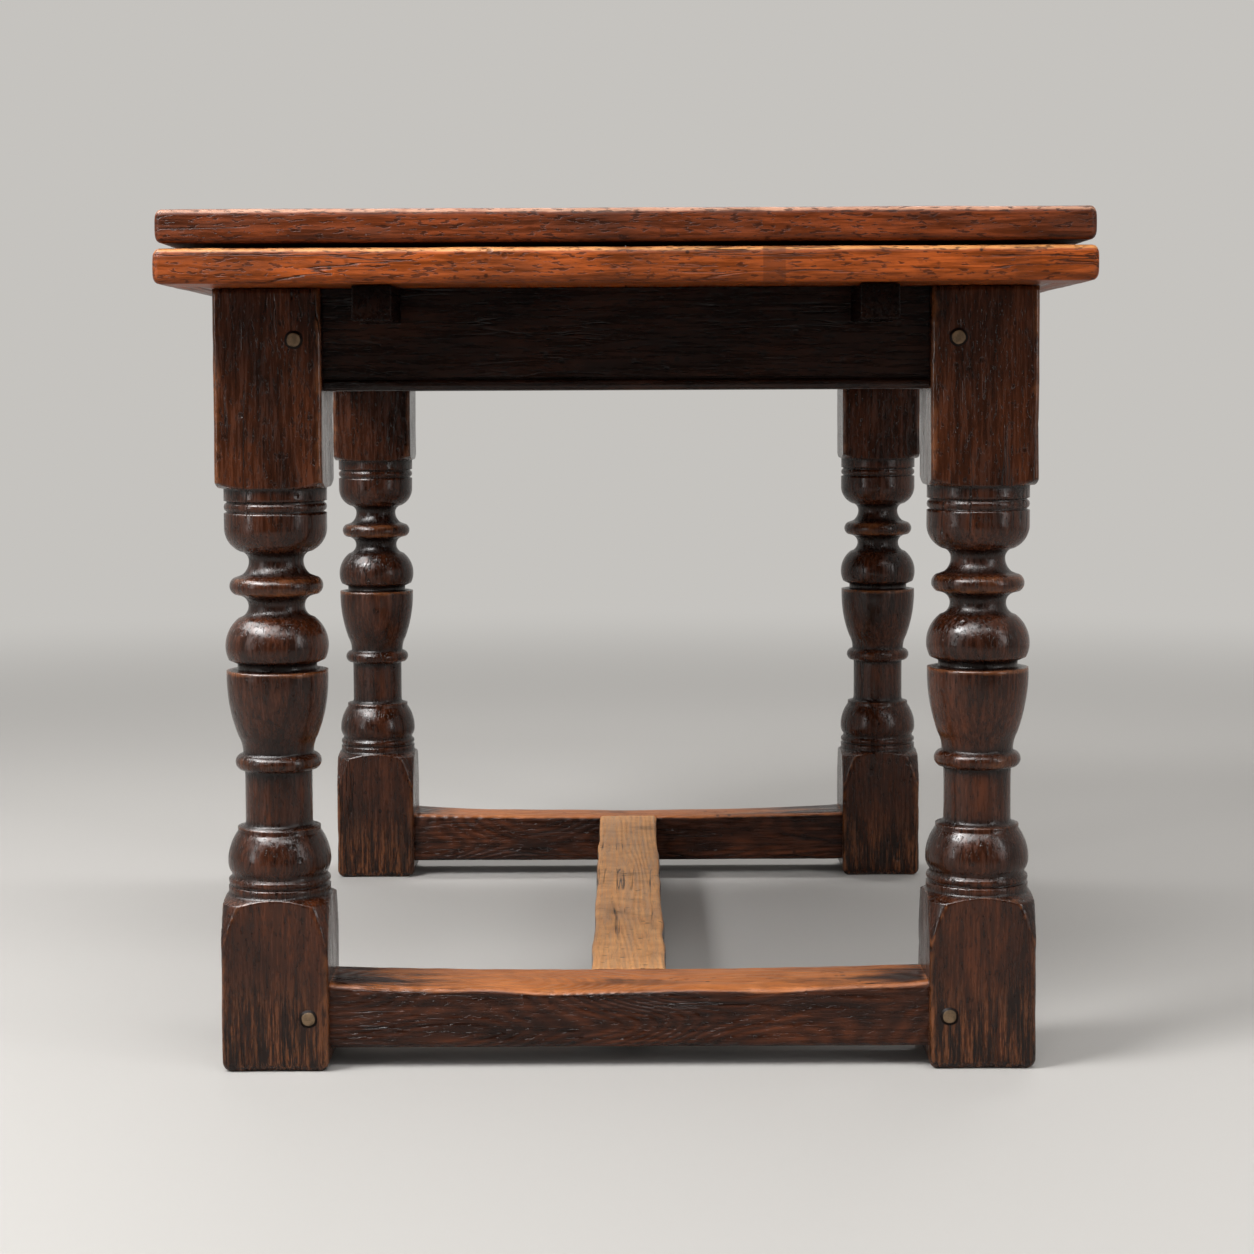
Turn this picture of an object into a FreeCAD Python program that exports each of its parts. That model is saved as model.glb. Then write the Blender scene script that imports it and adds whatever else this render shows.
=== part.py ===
"""Draw-leaf table in oak: turned legs, H stretcher, two leaves on lopers under a loose top.

Millimetres. The origin is on the floor under the middle of the table, X runs across its width,
Y along its length (the photographed end is at -Y) and Z is up.
"""
import FreeCAD, Part
import math
import os
import Sketcher
from types import SimpleNamespace

SIZES = {
    # The whole table
    "table_height": 762.0,
    "table_width": 798.0,
    "table_length": 1204.0,
    "side_overhang": 35.0,        # from the top's long edge in to the legs
    "end_overhang": 85.0,         # from the top's short edge in to the legs
    # Boards
    "top_thickness": 29.5,
    "leaf_thickness": 31.0,
    "leaf_gap": 3.5,              # between the top and the leaf stored under it
    "leaf_proud": 2.0,            # leaf edge past the top's edge
    "leaf_clearance": 1.0,        # between a leaf and the centre board
    "centre_board_length": 200.0,
    "cleat_width": 66.0,
    "inner_cleat_width": 50.0,
    "tongue_length": 20.0,
    "tongue_thickness": 10.0,
    "board_ease": 3.0,            # rounding of the boards' outer edges
    # Legs
    "leg_size": 96.0,
    "leg_ease": 2.5,
    "foot_ease": 4.0,
    "upper_block": 176.5,         # square part at the top of a leg
    "foot_block": 155.5,          # square part at its foot
    # Aprons
    "apron_height": 90.0,
    "apron_thickness": 30.0,
    "apron_setback": 14.0,
    "apron_bead": 5.0,            # radius of the bead along the lower edge
    "apron_quirk": 2.0,           # slot that sets the bead off
    "apron_tenon_length": 40.0,
    "apron_tenon_thickness": 12.0,
    "apron_shoulder": 12.0,
    # Stretchers
    "stretcher_lift": 18.0,
    "stretcher_height": 61.0,
    "stretcher_depth": 74.0,
    "stretcher_wear": 4.0,        # hollow worn into the middle of the end stretchers
    "stretcher_ease": 3.0,
    "stretcher_tenon_length": 45.0,
    "stretcher_tenon_thickness": 24.0,
    "stretcher_shoulder": 10.0,
    "centre_stretcher_width": 72.0,
    "centre_tenon_width": 46.0,
    "centre_tenon_length": 40.0,
    # Keeper rails under the centre board
    "rail_spacing": 160.0,
    "rail_thickness": 30.0,
    "rail_height": 62.0,
    "rail_tenon_length": 12.0,
    "rail_tenon_thickness": 14.0,
    "rail_shoulder": 14.0,
    # Lopers
    "loper_width": 35.0,
    "loper_height": 31.0,
    "loper_reach": 80.0,          # past the apron's face when the leaf is in
    "loper_tail_gap": 5.0,
    "loper_tail_relief": 1.0,     # tail planed lower so that it passes under the other leaf
    "loper_inset": 51.0,          # from a leg's inner face to the near leaf's loper
    "loper_pitch": 60.0,          # from there in to the far leaf's loper
    # Pegs
    "peg_diameter": 13.0,
    "peg_proud": 1.5,
    "apron_peg_length": 50.0,
    "apron_peg_inset": 24.0,
    "stretcher_peg_length": 70.0,
    "stretcher_peg_inset": 18.0,
    "small_peg_diameter": 9.0,
    "board_peg_length": 62.0,
    "board_peg_inset": 35.0,      # from a side apron's inner face
    "loper_peg_inset": 100.0,
    "loper_peg_pitch": 180.0,
    "loper_peg_depth": 23.0,
    "stop_peg_diameter": 12.0,
    "stop_peg_drop": 12.0,
    "stop_peg_socket": 15.0,
    "guide_peg_diameter": 25.0,
    "guide_peg_drop": 58.0,
    "guide_peg_socket": 15.0,
    "guide_peg_inset": 43.0,      # from a side apron's inner face
    # Clearances
    "slide_clearance": 0.4,       # under and over what slides
    "side_clearance": 0.5,        # beside what slides
    "fit_clearance": 0.1,         # round tenons, tongues and pegs
    "bottom_clearance": 1.0,      # at the blind end of mortises and holes
    # Turned members, from the upper block down: heights
    "upper_shoulder": 12.0,
    "band_height": 11.0,
    "quirk_height": 1.2,
    "ring_half": 4.5,
    "cup_wall": 13.0,
    "cup_height": 21.0,
    "cup_foot": 9.0,
    "neck_flare": 14.0,
    "bead_half": 8.5,
    "small_neck": 9.5,
    "small_flare": 11.0,
    "bulb_upper": 25.0,
    "bulb_lower": 12.5,
    "bulb_under": 3.5,
    "bulb_groove": 5.0,
    "vase_rim": 5.0,
    "vase_height": 54.0,
    "vase_foot": 16.0,
    "collar_half": 7.7,
    # Turned members, from the foot block up: heights
    "scoop_height": 100.0,
    "lower_shoulder": 6.0,
    "foot_band": 6.5,
    "foot_ring_half": 4.0,
    "foot_groove": 2.5,
    "foot_bulb_lower": 10.0,
    "foot_bulb_upper": 27.6,
    "foot_fillet": 4.0,
    "foot_flare": 5.0,
    # Turned members: radii
    "ring_radius": 46.4,
    "quirk_radius": 43.4,
    "cup_foot_radius": 33.3,
    "neck_radius": 24.8,
    "bead_edge_radius": 33.0,
    "bead_radius": 42.3,
    "small_neck_radius": 25.7,
    "bulb_top_radius": 34.7,
    "bulb_radius": 46.8,
    "bulb_edge_radius": 43.8,
    "bulb_groove_radius": 36.0,
    "vase_rim_radius": 46.0,
    "vase_waist_radius": 36.3,
    "vase_foot_radius": 32.2,
    "collar_radius": 39.2,
    "column_radius": 30.6,
    "foot_flare_radius": 37.8,
    "scoop_radius": 58.0,
}
PLANKS = 4
SQUARE_TO_CORNER = 0.75   # radius past a square's corner, as a share of its side


class Length:
    """A length held both as an expression on the sheet and as its present value."""

    def __init__(self, text, value):
        self.text = text
        self.value = value

    def joined(self, sign, other, value):
        return Length(f"({self.text} {sign} {length(other).text})", value)

    def __add__(self, other):
        return self.joined("+", other, self.value + length(other).value)

    def __sub__(self, other):
        return self.joined("-", other, self.value - length(other).value)

    def __mul__(self, other):
        return self.joined("*", other, self.value * length(other).value)

    def __truediv__(self, other):
        return self.joined("/", other, self.value / length(other).value)

    def __neg__(self):
        return Length(f"(0 - {self.text})", -self.value)


def length(number):
    """Give a plain number the form of a Length."""
    if isinstance(number, Length):
        return number
    return Length(f"({float(number)})", float(number))


doc = FreeCAD.newDocument("draw_leaf_table")
sheet = doc.addObject("Spreadsheet::Sheet", "sizes")
for row, (word, number) in enumerate(SIZES.items(), 1):
    sheet.set(f"A{row}", word)
    sheet.set(f"B{row}", str(number))
    sheet.setAlias(f"B{row}", word)
doc.recompute()
s = SimpleNamespace(**{word: Length("sizes." + word, number) for word, number in SIZES.items()})

# Levels above the floor
top_under = s.table_height - s.top_thickness
leaf_top = top_under - s.leaf_gap
leaf_under = leaf_top - s.leaf_thickness
frame_top = leaf_under - s.slide_clearance
board_under = leaf_under + s.slide_clearance
loper_under = leaf_under - s.loper_height
notch_floor = loper_under - s.slide_clearance
apron_under = frame_top - s.apron_height
stretcher_top = s.stretcher_lift + s.stretcher_height

# Plan: distances from the middle of the table
leg_face_x = s.table_width / 2 - s.side_overhang
leg_face_y = s.table_length / 2 - s.end_overhang
leg_x = leg_face_x - s.leg_size / 2
leg_y = leg_face_y - s.leg_size / 2
clear_x = leg_face_x - s.leg_size
clear_y = leg_face_y - s.leg_size
apron_face_x = leg_face_x - s.apron_setback
apron_face_y = leg_face_y - s.apron_setback
rail_y = s.rail_spacing / 2
rail_half = apron_face_x - s.apron_thickness
near_loper_x = clear_x - s.loper_inset
far_loper_x = near_loper_x - s.loper_pitch
board_peg_x = rail_half - s.board_peg_inset
guide_peg_x = rail_half - s.guide_peg_inset
leaf_half = s.table_width / 2 + s.leaf_proud
leaf_edge = s.table_length / 2 + s.leaf_proud
leaf_inner = s.centre_board_length / 2 + s.leaf_clearance
leaf_travel = s.table_length / 2 - s.centre_board_length / 2
stop_peg_y = leaf_travel - rail_y + s.rail_thickness / 2 + s.stop_peg_diameter / 2 + s.slide_clearance

peg_bore = s.peg_diameter + s.fit_clearance * 2
small_bore = s.small_peg_diameter + s.fit_clearance * 2
subparts = []


def bind(target, field, amount):
    """Tie one field of an object to an expression."""
    target.setExpression(field, length(amount).text)


def new_body(label):
    """Start a piece of the table."""
    body = doc.addObject("PartDesign::Body", label)
    body.Label = label
    subparts.append(body)
    return body


def place(piece, x, y, z, turn=0):
    """Stand a piece at a point, turned about Z."""
    piece.Placement = FreeCAD.Placement(FreeCAD.Vector(), FreeCAD.Rotation(FreeCAD.Vector(0, 0, 1), turn))
    for axis, amount in zip("xyz", (x, y, z)):
        bind(piece, "Placement.Base." + axis, amount)


def new_sketch(body, name, role, shift):
    """Sketch on one of the body's origin planes, shifted in the plane's own axes."""
    sketch = body.newObject("Sketcher::SketchObject", name)
    plane = [feature for feature in body.Origin.OriginFeatures if feature.Role == role][0]
    sketch.AttachmentSupport = (plane, [""])
    sketch.MapMode = "FlatFace"
    for axis, amount in zip("xyz", shift):
        bind(sketch, "AttachmentOffset.Base." + axis, amount)
    return sketch


def hold_point(sketch, edge, end, across, up):
    """Fix an edge's end point at two lengths from the sketch's origin."""
    for kind, axis, amount in (("DistanceX", -2, across), ("DistanceY", -1, up)):
        if length(amount).value == 0:
            sketch.addConstraint(Sketcher.Constraint("PointOnObject", edge, end, axis))
            continue
        number = sketch.addConstraint(Sketcher.Constraint(kind, -1, 1, edge, end, length(amount).value))
        bind(sketch, f"Constraints[{number}]", amount)


def arc_through(start, finish, pivot, upright):
    """Arc between two points whose tangent at the pivot is upright, or else level."""
    other = finish if pivot is start else start
    along, across = (0, 1) if upright else (1, 0)
    step = other[along] - pivot[along]
    rise = other[across] - pivot[across]
    offset = (step * step + rise * rise) / (2 * step)
    centre = [0.0, 0.0]
    centre[along] = pivot[along] + offset
    centre[across] = pivot[across]
    angles = [math.atan2(point[1] - centre[1], point[0] - centre[0]) for point in (start, finish)]
    turn = (angles[1] - angles[0]) % (2 * math.pi)
    forward = turn < math.pi
    if not forward:
        angles.reverse()
    circle = Part.Circle(FreeCAD.Vector(*centre, 0), FreeCAD.Vector(0, 0, 1), abs(offset))
    return Part.ArcOfCircle(circle, *angles), forward


def outline(body, name, role, shift, points):
    """Closed outline through points, each (kind of edge that leads to the next, across, up).

    A line is straight. A curve is an arc that is upright or level at its start or its end.
    """
    sketch = new_sketch(body, name, role, shift)
    spots = [[length(value).value for value in point[1:]] for point in points]
    ends = []
    for number, (kind, *unused) in enumerate(points):
        start = spots[number]
        finish = spots[(number + 1) % len(points)]
        if kind == "line":
            edge = Part.LineSegment(FreeCAD.Vector(*start, 0), FreeCAD.Vector(*finish, 0))
            sketch.addGeometry(edge, False)
            ends.append((1, 2))
            continue
        shape, place_of_tangent = kind.split()
        pivot = start if place_of_tangent == "start" else finish
        edge, forward = arc_through(start, finish, pivot, shape == "upright")
        sketch.addGeometry(edge, False)
        ends.append((1, 2) if forward else (2, 1))
    for number, (kind, across, up) in enumerate(points):
        following = (number + 1) % len(points)
        sketch.addConstraint(
            Sketcher.Constraint("Coincident", number, ends[number][1], following, ends[following][0]))
        hold_point(sketch, number, ends[number][0], across, up)
        if kind != "line":
            shape, place_of_tangent = kind.split()
            pivot = ends[number][0 if place_of_tangent == "start" else 1]
            level = "Horizontal" if shape == "upright" else "Vertical"
            sketch.addConstraint(Sketcher.Constraint(level, number, 3, number, pivot))
    return sketch


def span(first, second):
    """Two lengths in rising order."""
    return sorted((length(first), length(second)), key=lambda amount: amount.value)


def block(body, name, kind, xs, ys, zs):
    """Square block added to a body ("Pad") or cut out of it ("Pocket"), from three spans."""
    (x0, x1), (y0, y1), (z0, z1) = span(*xs), span(*ys), span(*zs)
    level = z0 if kind == "Pad" else z1
    points = (("line", 0, 0), ("line", x1 - x0, 0), ("line", x1 - x0, y1 - y0), ("line", 0, y1 - y0))
    sketch = outline(body, name + "_outline", "XY_Plane", (x0, y0, level), points)
    feature = body.newObject("PartDesign::" + kind, name)
    feature.Profile = sketch
    bind(feature, "Length", z1 - z0)
    return feature


def bore(body, name, axis, across, up, reach, diameter):
    """Round hole along an axis over a span, at two lengths across it."""
    low, high = span(*reach)
    role, level = {"X": ("YZ_Plane", high), "Y": ("XZ_Plane", -low), "Z": ("XY_Plane", high)}[axis]
    sketch = new_sketch(body, name + "_circle", role, (across, up, level))
    size = length(diameter) / 2
    circle = Part.Circle(FreeCAD.Vector(), FreeCAD.Vector(0, 0, 1), size.value)
    sketch.addGeometry(circle, False)
    sketch.addConstraint(Sketcher.Constraint("Coincident", 0, 3, -1, 1))
    number = sketch.addConstraint(Sketcher.Constraint("Radius", 0, size.value))
    bind(sketch, f"Constraints[{number}]", size)
    hole = body.newObject("PartDesign::Pocket", name)
    hole.Profile = sketch
    bind(hole, "Length", high - low)
    return hole


def pad_outline(body, name, role, points, reach):
    """Outline drawn on an origin plane and padded along the plane's normal."""
    sketch = outline(body, name + "_outline", role, (0, 0, 0), points)
    pad = body.newObject("PartDesign::Pad", name)
    pad.Profile = sketch
    bind(pad, "Length", reach)
    return pad


def ease(body, name, radius, chosen):
    """Round the edges of a body's last feature that a test on their end points and middle chooses."""
    doc.recompute()
    base = body.Tip
    names = []
    for number, edge in enumerate(base.Shape.Edges, 1):
        middle = edge.valueAt((edge.FirstParameter + edge.LastParameter) / 2)
        if chosen([vertex.Point for vertex in edge.Vertexes] + [middle]):
            names.append(f"Edge{number}")
    fillet = body.newObject("PartDesign::Fillet", name)
    fillet.Base = (base, names)
    bind(fillet, "Radius", radius)
    return fillet


def near(value, target):
    """Whether a coordinate lies on a plane."""
    return abs(value - length(target).value) < 0.01


def dowels(label, name, pegs):
    """Group of separate round pegs: (axis, x, y, z of the lower end, diameter, length)."""
    turns = {"X": FreeCAD.Rotation(FreeCAD.Vector(0, 1, 0), 90),
             "Y": FreeCAD.Rotation(FreeCAD.Vector(1, 0, 0), -90),
             "Z": FreeCAD.Rotation()}
    solids = []
    for number, (axis, x, y, z, diameter, reach) in enumerate(pegs, 1):
        peg = doc.addObject("Part::Cylinder", f"{name}_{number}")
        peg.Placement = FreeCAD.Placement(FreeCAD.Vector(), turns[axis])
        for letter, amount in zip("xyz", (x, y, z)):
            bind(peg, "Placement.Base." + letter, amount)
        bind(peg, "Radius", length(diameter) / 2)
        bind(peg, "Height", reach)
        solids.append(peg)
    group = doc.addObject("Part::Compound", label)
    group.Label = label
    group.Links = solids
    subparts.append(group)
    return group


# Turned members of a leg, from the upper block down: (edge that follows, drop to here, radius here)
UPPER_TURNING = (
    ("line", s.upper_shoulder, s.ring_radius),
    ("line", s.band_height, s.ring_radius),
    ("upright end", s.quirk_height, s.quirk_radius),
    ("upright start", s.ring_half, s.ring_radius),
    ("line", s.ring_half, s.quirk_radius),
    ("line", s.quirk_height, s.ring_radius),
    ("upright start", s.cup_wall, s.ring_radius),
    ("upright end", s.cup_height, s.cup_foot_radius),
    ("upright start", s.cup_foot, s.neck_radius),
    ("upright end", s.neck_flare, s.bead_edge_radius),
    ("upright start", s.bead_half, s.bead_radius),
    ("upright end", s.bead_half, s.bead_edge_radius),
    ("upright start", s.small_neck, s.small_neck_radius),
    ("upright end", s.small_flare, s.bulb_top_radius),
    ("upright start", s.bulb_upper, s.bulb_radius),
    ("line", s.bulb_lower, s.bulb_edge_radius),
    ("line", s.bulb_under, s.bulb_groove_radius),
    ("line", s.bulb_groove, s.bulb_groove_radius),
    ("line", s.quirk_height, s.vase_rim_radius),
    ("upright start", s.vase_rim, s.vase_rim_radius),
    ("upright end", s.vase_height, s.vase_waist_radius),
    ("upright end", s.vase_foot, s.vase_foot_radius),
    ("upright start", s.collar_half, s.collar_radius),
    ("line", s.collar_half, s.column_radius),
)
# The same from the foot block up: (edge that leads here from above, rise to here, radius here)
LOWER_TURNING = (
    ("line", s.scoop_height, s.scoop_radius),
    ("line", s.lower_shoulder, s.ring_radius),
    ("line", s.foot_band, s.ring_radius),
    ("upright start", s.quirk_height, s.quirk_radius),
    ("upright end", s.foot_ring_half, s.ring_radius),
    ("line", s.foot_ring_half, s.quirk_radius),
    ("upright start", s.foot_groove, s.quirk_radius),
    ("upright end", s.foot_bulb_lower, s.bulb_radius),
    ("line", s.foot_bulb_upper, s.foot_flare_radius),
    ("upright start", s.foot_fillet, s.foot_flare_radius),
    ("line", s.foot_flare, s.column_radius),
)


def turning_profile():
    """Outline, in a plane through the leg's axis, of what the lathe takes off."""
    outside = s.leg_size * SQUARE_TO_CORNER
    level = frame_top - s.upper_block + s.upper_shoulder
    points = [("level end", outside, level)]
    for kind, drop, radius in UPPER_TURNING:
        level = level - drop
        points.append((kind, radius, level))
    level = s.foot_block - s.lower_shoulder - s.scoop_height
    rising = [("line", outside, level)]
    following = "upright end"
    for kind, rise, radius in LOWER_TURNING:
        level = level + rise
        rising.append((following, radius, level))
        following = kind
    return points + rising[::-1]


def leg(label, side, end):
    """Leg with its mortises; side and end are the signs of its X and Y."""
    body = new_body(label)
    half = s.leg_size / 2
    block(body, "stock", "Pad", (-half, half), (-half, half), (0, frame_top))
    ease(body, "arrises", s.leg_ease,
         lambda spots: abs(spots[0].z - spots[1].z) > 1)
    ease(body, "foot_edge", s.foot_ease, lambda spots: all(near(spot.z, 0) for spot in spots))
    groove = body.newObject("PartDesign::Groove", "turning")
    sketch = outline(body, "turning_outline", "XZ_Plane", (0, 0, 0), turning_profile())
    groove.Profile = sketch
    groove.ReferenceAxis = (sketch, ["V_Axis"])
    groove.Angle = 360
    body.Tip = groove

    inner_x = half * -side
    inner_y = half * -end
    tenon_line = half - s.apron_setback - s.apron_thickness / 2
    tenon_half = s.apron_tenon_thickness / 2 + s.fit_clearance
    depth = s.apron_tenon_length + s.bottom_clearance
    heights = (apron_under + s.apron_shoulder - s.fit_clearance,
               frame_top - s.apron_shoulder + s.fit_clearance)
    across_x = (tenon_line * side - tenon_half, tenon_line * side + tenon_half)
    across_y = (tenon_line * end - tenon_half, tenon_line * end + tenon_half)
    block(body, "end_apron_mortise", "Pocket", (inner_x, inner_x + depth * side), across_y, heights)
    block(body, "side_apron_mortise", "Pocket", across_x, (inner_y, inner_y + depth * end), heights)
    tenon_half = s.stretcher_tenon_thickness / 2 + s.fit_clearance
    depth = s.stretcher_tenon_length + s.bottom_clearance
    heights = (s.stretcher_lift + s.stretcher_shoulder - s.fit_clearance,
               stretcher_top - s.stretcher_shoulder + s.fit_clearance)
    block(body, "stretcher_mortise", "Pocket", (inner_x, inner_x + depth * side),
          (-tenon_half, tenon_half), heights)

    outer_x = half * side
    outer_y = half * end
    peg_level = apron_under + s.apron_height / 2
    reach = s.apron_peg_length + s.bottom_clearance - s.peg_proud
    bore(body, "end_peg_hole", "Y", inner_x + s.apron_peg_inset * side, peg_level,
         (outer_y, outer_y - reach * end), peg_bore)
    bore(body, "side_peg_hole", "X", inner_y + s.apron_peg_inset * end, peg_level,
         (outer_x, outer_x - reach * side), peg_bore)
    reach = s.stretcher_peg_length + s.bottom_clearance - s.peg_proud
    bore(body, "stretcher_peg_hole", "Y", inner_x + s.stretcher_peg_inset * side,
         s.stretcher_lift + s.stretcher_height / 2, (outer_y, outer_y - reach * end), peg_bore)
    place(body, leg_x * side, leg_y * end, 0)


def apron(label, clear, x, y, turn, notches=(), mortises=()):
    """Apron between two legs, drawn with its face at y = 0 and its left shoulder at x = 0."""
    body = new_body(label)
    thick = s.apron_thickness
    bead = s.apron_bead
    points = (
        ("line", thick, 0),
        ("line", thick, s.apron_height),
        ("line", 0, s.apron_height),
        ("line", 0, bead * 2 + s.apron_quirk),
        ("line", bead, bead * 2 + s.apron_quirk),
        ("upright end", bead, bead * 2),
        ("upright start", 0, bead),
        ("line", bead, 0),
    )
    pad_outline(body, "board", "YZ_Plane", points, clear)
    tenon = s.apron_tenon_thickness / 2
    block(body, "tenons", "Pad", (-s.apron_tenon_length, clear + s.apron_tenon_length),
          (thick / 2 - tenon, thick / 2 + tenon), (s.apron_shoulder, s.apron_height - s.apron_shoulder))
    for number, centre in enumerate(notches, 1):
        half = s.loper_width / 2 + s.side_clearance
        block(body, f"loper_notch_{number}", "Pocket", (centre - half, centre + half), (0, thick),
              (notch_floor - apron_under, s.apron_height))
    for number, centre in enumerate(mortises, 1):
        half = s.rail_tenon_thickness / 2 + s.fit_clearance
        base = board_under - s.rail_height - apron_under
        block(body, f"rail_mortise_{number}", "Pocket", (centre - half, centre + half),
              (thick - s.rail_tenon_length - s.bottom_clearance, thick),
              (base + s.rail_shoulder - s.fit_clearance,
               base + s.rail_height - s.rail_shoulder * 2 + s.fit_clearance))
    for number, centre in enumerate((-s.apron_peg_inset, clear + s.apron_peg_inset), 1):
        bore(body, f"peg_hole_{number}", "Y", centre, s.apron_height / 2,
             (thick / 2 - tenon, thick / 2 + tenon), peg_bore)
    place(body, x, y, apron_under, turn)


def end_stretcher(label, end):
    """Stretcher between two legs at one end, hollowed on top by wear."""
    body = new_body(label)
    width = clear_x * 2
    points = (
        ("line", 0, 0),
        ("line", width, 0),
        ("level end", width, s.stretcher_height),
        ("level start", width / 2, s.stretcher_height - s.stretcher_wear),
        ("line", 0, s.stretcher_height),
    )
    pad_outline(body, "board", "XZ_Plane", points, s.stretcher_depth)
    ease(body, "arrises", s.stretcher_ease,
         lambda spots: abs(spots[0].x - spots[1].x) > 1)
    middle = -s.stretcher_depth / 2
    tenon = s.stretcher_tenon_thickness / 2
    block(body, "tenons", "Pad", (-s.stretcher_tenon_length, width + s.stretcher_tenon_length),
          (middle - tenon, middle + tenon), (s.stretcher_shoulder, s.stretcher_height - s.stretcher_shoulder))
    half = s.centre_tenon_width / 2 + s.fit_clearance
    face = -s.stretcher_depth if end > 0 else length(0)
    depth = (s.centre_tenon_length + s.bottom_clearance) * (1 if end > 0 else -1)
    block(body, "centre_mortise", "Pocket", (width / 2 - half, width / 2 + half), (face, face + depth),
          (s.stretcher_shoulder - s.fit_clearance,
           s.stretcher_height - s.stretcher_wear - s.stretcher_shoulder + s.fit_clearance))
    for number, centre in enumerate((-s.stretcher_peg_inset, width + s.stretcher_peg_inset), 1):
        bore(body, f"peg_hole_{number}", "Y", centre, s.stretcher_height / 2,
             (middle - tenon, middle + tenon), peg_bore)
    place(body, -clear_x, leg_y * end + s.stretcher_depth / 2, s.stretcher_lift)


def centre_stretcher():
    """Long stretcher between the two end stretchers, flush with their worn tops."""
    body = new_body("stretcher_centre")
    half = s.centre_stretcher_width / 2
    reach = leg_y - s.stretcher_depth / 2
    height = s.stretcher_height - s.stretcher_wear
    block(body, "board", "Pad", (-half, half), (-reach, reach), (0, height))
    ease(body, "arrises", s.stretcher_ease, lambda spots: abs(spots[0].y - spots[1].y) > 1)
    tenon = s.centre_tenon_width / 2
    reach = reach + s.centre_tenon_length
    block(body, "tenons", "Pad", (-tenon, tenon), (-reach, reach),
          (s.stretcher_shoulder, height - s.stretcher_shoulder))
    place(body, 0, 0, s.stretcher_lift)


def keeper_rail(label, end, peg_x):
    """Cross rail that carries the centre board; the other leaf's stop pegs pass it at peg_x."""
    body = new_body(label)
    half = s.rail_thickness / 2
    base = board_under - s.rail_height
    block(body, "board", "Pad", (-rail_half, rail_half), (-half, half), (0, s.rail_height))
    tenon = s.rail_tenon_thickness / 2
    block(body, "tenons", "Pad", (-rail_half - s.rail_tenon_length, rail_half + s.rail_tenon_length),
          (-tenon, tenon), (s.rail_shoulder, s.rail_height - s.rail_shoulder * 2))
    slot = s.loper_width / 2 + s.side_clearance
    for number, centre in enumerate((-near_loper_x, -far_loper_x, far_loper_x, near_loper_x), 1):
        block(body, f"loper_notch_{number}", "Pocket", (centre - slot, centre + slot), (-half, half),
              (notch_floor - base, s.rail_height))
    slot = s.stop_peg_diameter / 2 + s.side_clearance
    for number, centre in enumerate((-peg_x, peg_x), 1):
        block(body, f"stop_peg_notch_{number}", "Pocket", (centre - slot, centre + slot), (-half, half),
              (notch_floor - s.stop_peg_drop - base, notch_floor - base))
    for number, centre in enumerate((-board_peg_x, board_peg_x), 1):
        bore(body, f"peg_hole_{number}", "Z", centre, 0,
             (s.rail_height + top_under - board_under - s.board_peg_length - s.bottom_clearance,
              s.rail_height), peg_bore)
    place(body, 0, rail_y * end, base)


def centre_board():
    """Fixed board between the leaves, with the holes for the top's guide pegs."""
    body = new_body("centre_board")
    half = s.table_width / 2
    reach = s.centre_board_length / 2
    thick = top_under - board_under
    block(body, "board", "Pad", (-half, half), (-reach, reach), (0, thick))
    ease(body, "ends", s.board_ease,
         lambda spots: all(abs(abs(spot.x) - half.value) < 0.01 for spot in spots)
         and abs(spots[0].y - spots[1].y) > 1)
    for number, side in enumerate((-1, 1), 1):
        bore(body, f"guide_hole_{number}", "Z", guide_peg_x * side, 0, (0, thick),
             s.guide_peg_diameter + s.side_clearance * 2)
        for end in (-1, 1):
            bore(body, f"peg_hole_{number}_{end + 2}", "Z", board_peg_x * side, rail_y * end,
                 (0, thick), peg_bore)
    place(body, 0, 0, board_under)


def plank_bounds(width, number):
    """Left and right edge of one of the equal planks across a board."""
    share = width / PLANKS
    return share * number - width / 2, share * (number + 1) - width / 2


def outer_edge(bounds, number):
    """Edge of the first or the last plank that shows at the side of the board."""
    return {0: bounds[0], PLANKS - 1: bounds[1]}.get(number)


def plank(label, bounds, reach, thick, level, turn, holes, outer=None):
    """Plank along Y with a tongue at both ends, and with its outer edge, if it has one, eased."""
    body = new_body(label)
    block(body, "board", "Pad", bounds, reach, (0, thick))
    if outer:
        ease(body, "outer_edge", s.board_ease,
             lambda spots: all(near(spot.x, outer) for spot in spots) and abs(spots[0].y - spots[1].y) > 1)
    tongue = s.tongue_thickness / 2
    block(body, "tongues", "Pad", bounds, (reach[0] - s.tongue_length, reach[1] + s.tongue_length),
          (thick / 2 - tongue, thick / 2 + tongue))
    for number, (x, y, low, high, diameter) in enumerate(holes, 1):
        bore(body, f"peg_hole_{number}", "Z", x, y, (low, high), diameter)
    place(body, 0, 0, level, turn)


def cleat(label, width, deep, thick, x, y, level, turn, peg_inset):
    """Cleat across the ends of the planks, grooved for their tongues, its outer edge at y = 0."""
    body = new_body(label)
    groove = s.tongue_thickness / 2 + s.fit_clearance
    floor = deep - s.tongue_length - s.bottom_clearance
    points = (
        ("line", deep, 0),
        ("upright end", s.board_ease, 0),
        ("line", 0, s.board_ease),
        ("upright start", 0, thick - s.board_ease),
        ("line", s.board_ease, thick),
        ("line", deep, thick),
        ("line", deep, thick / 2 + groove),
        ("line", floor, thick / 2 + groove),
        ("line", floor, thick / 2 - groove),
        ("line", deep, thick / 2 - groove),
    )
    pad_outline(body, "board", "YZ_Plane", points, width)
    for number in range(PLANKS):
        bore(body, f"peg_hole_{number + 1}", "Z", width / PLANKS * (number + 0.5), peg_inset,
             (0, thick), small_bore)
    place(body, x, y, level, turn)


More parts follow.
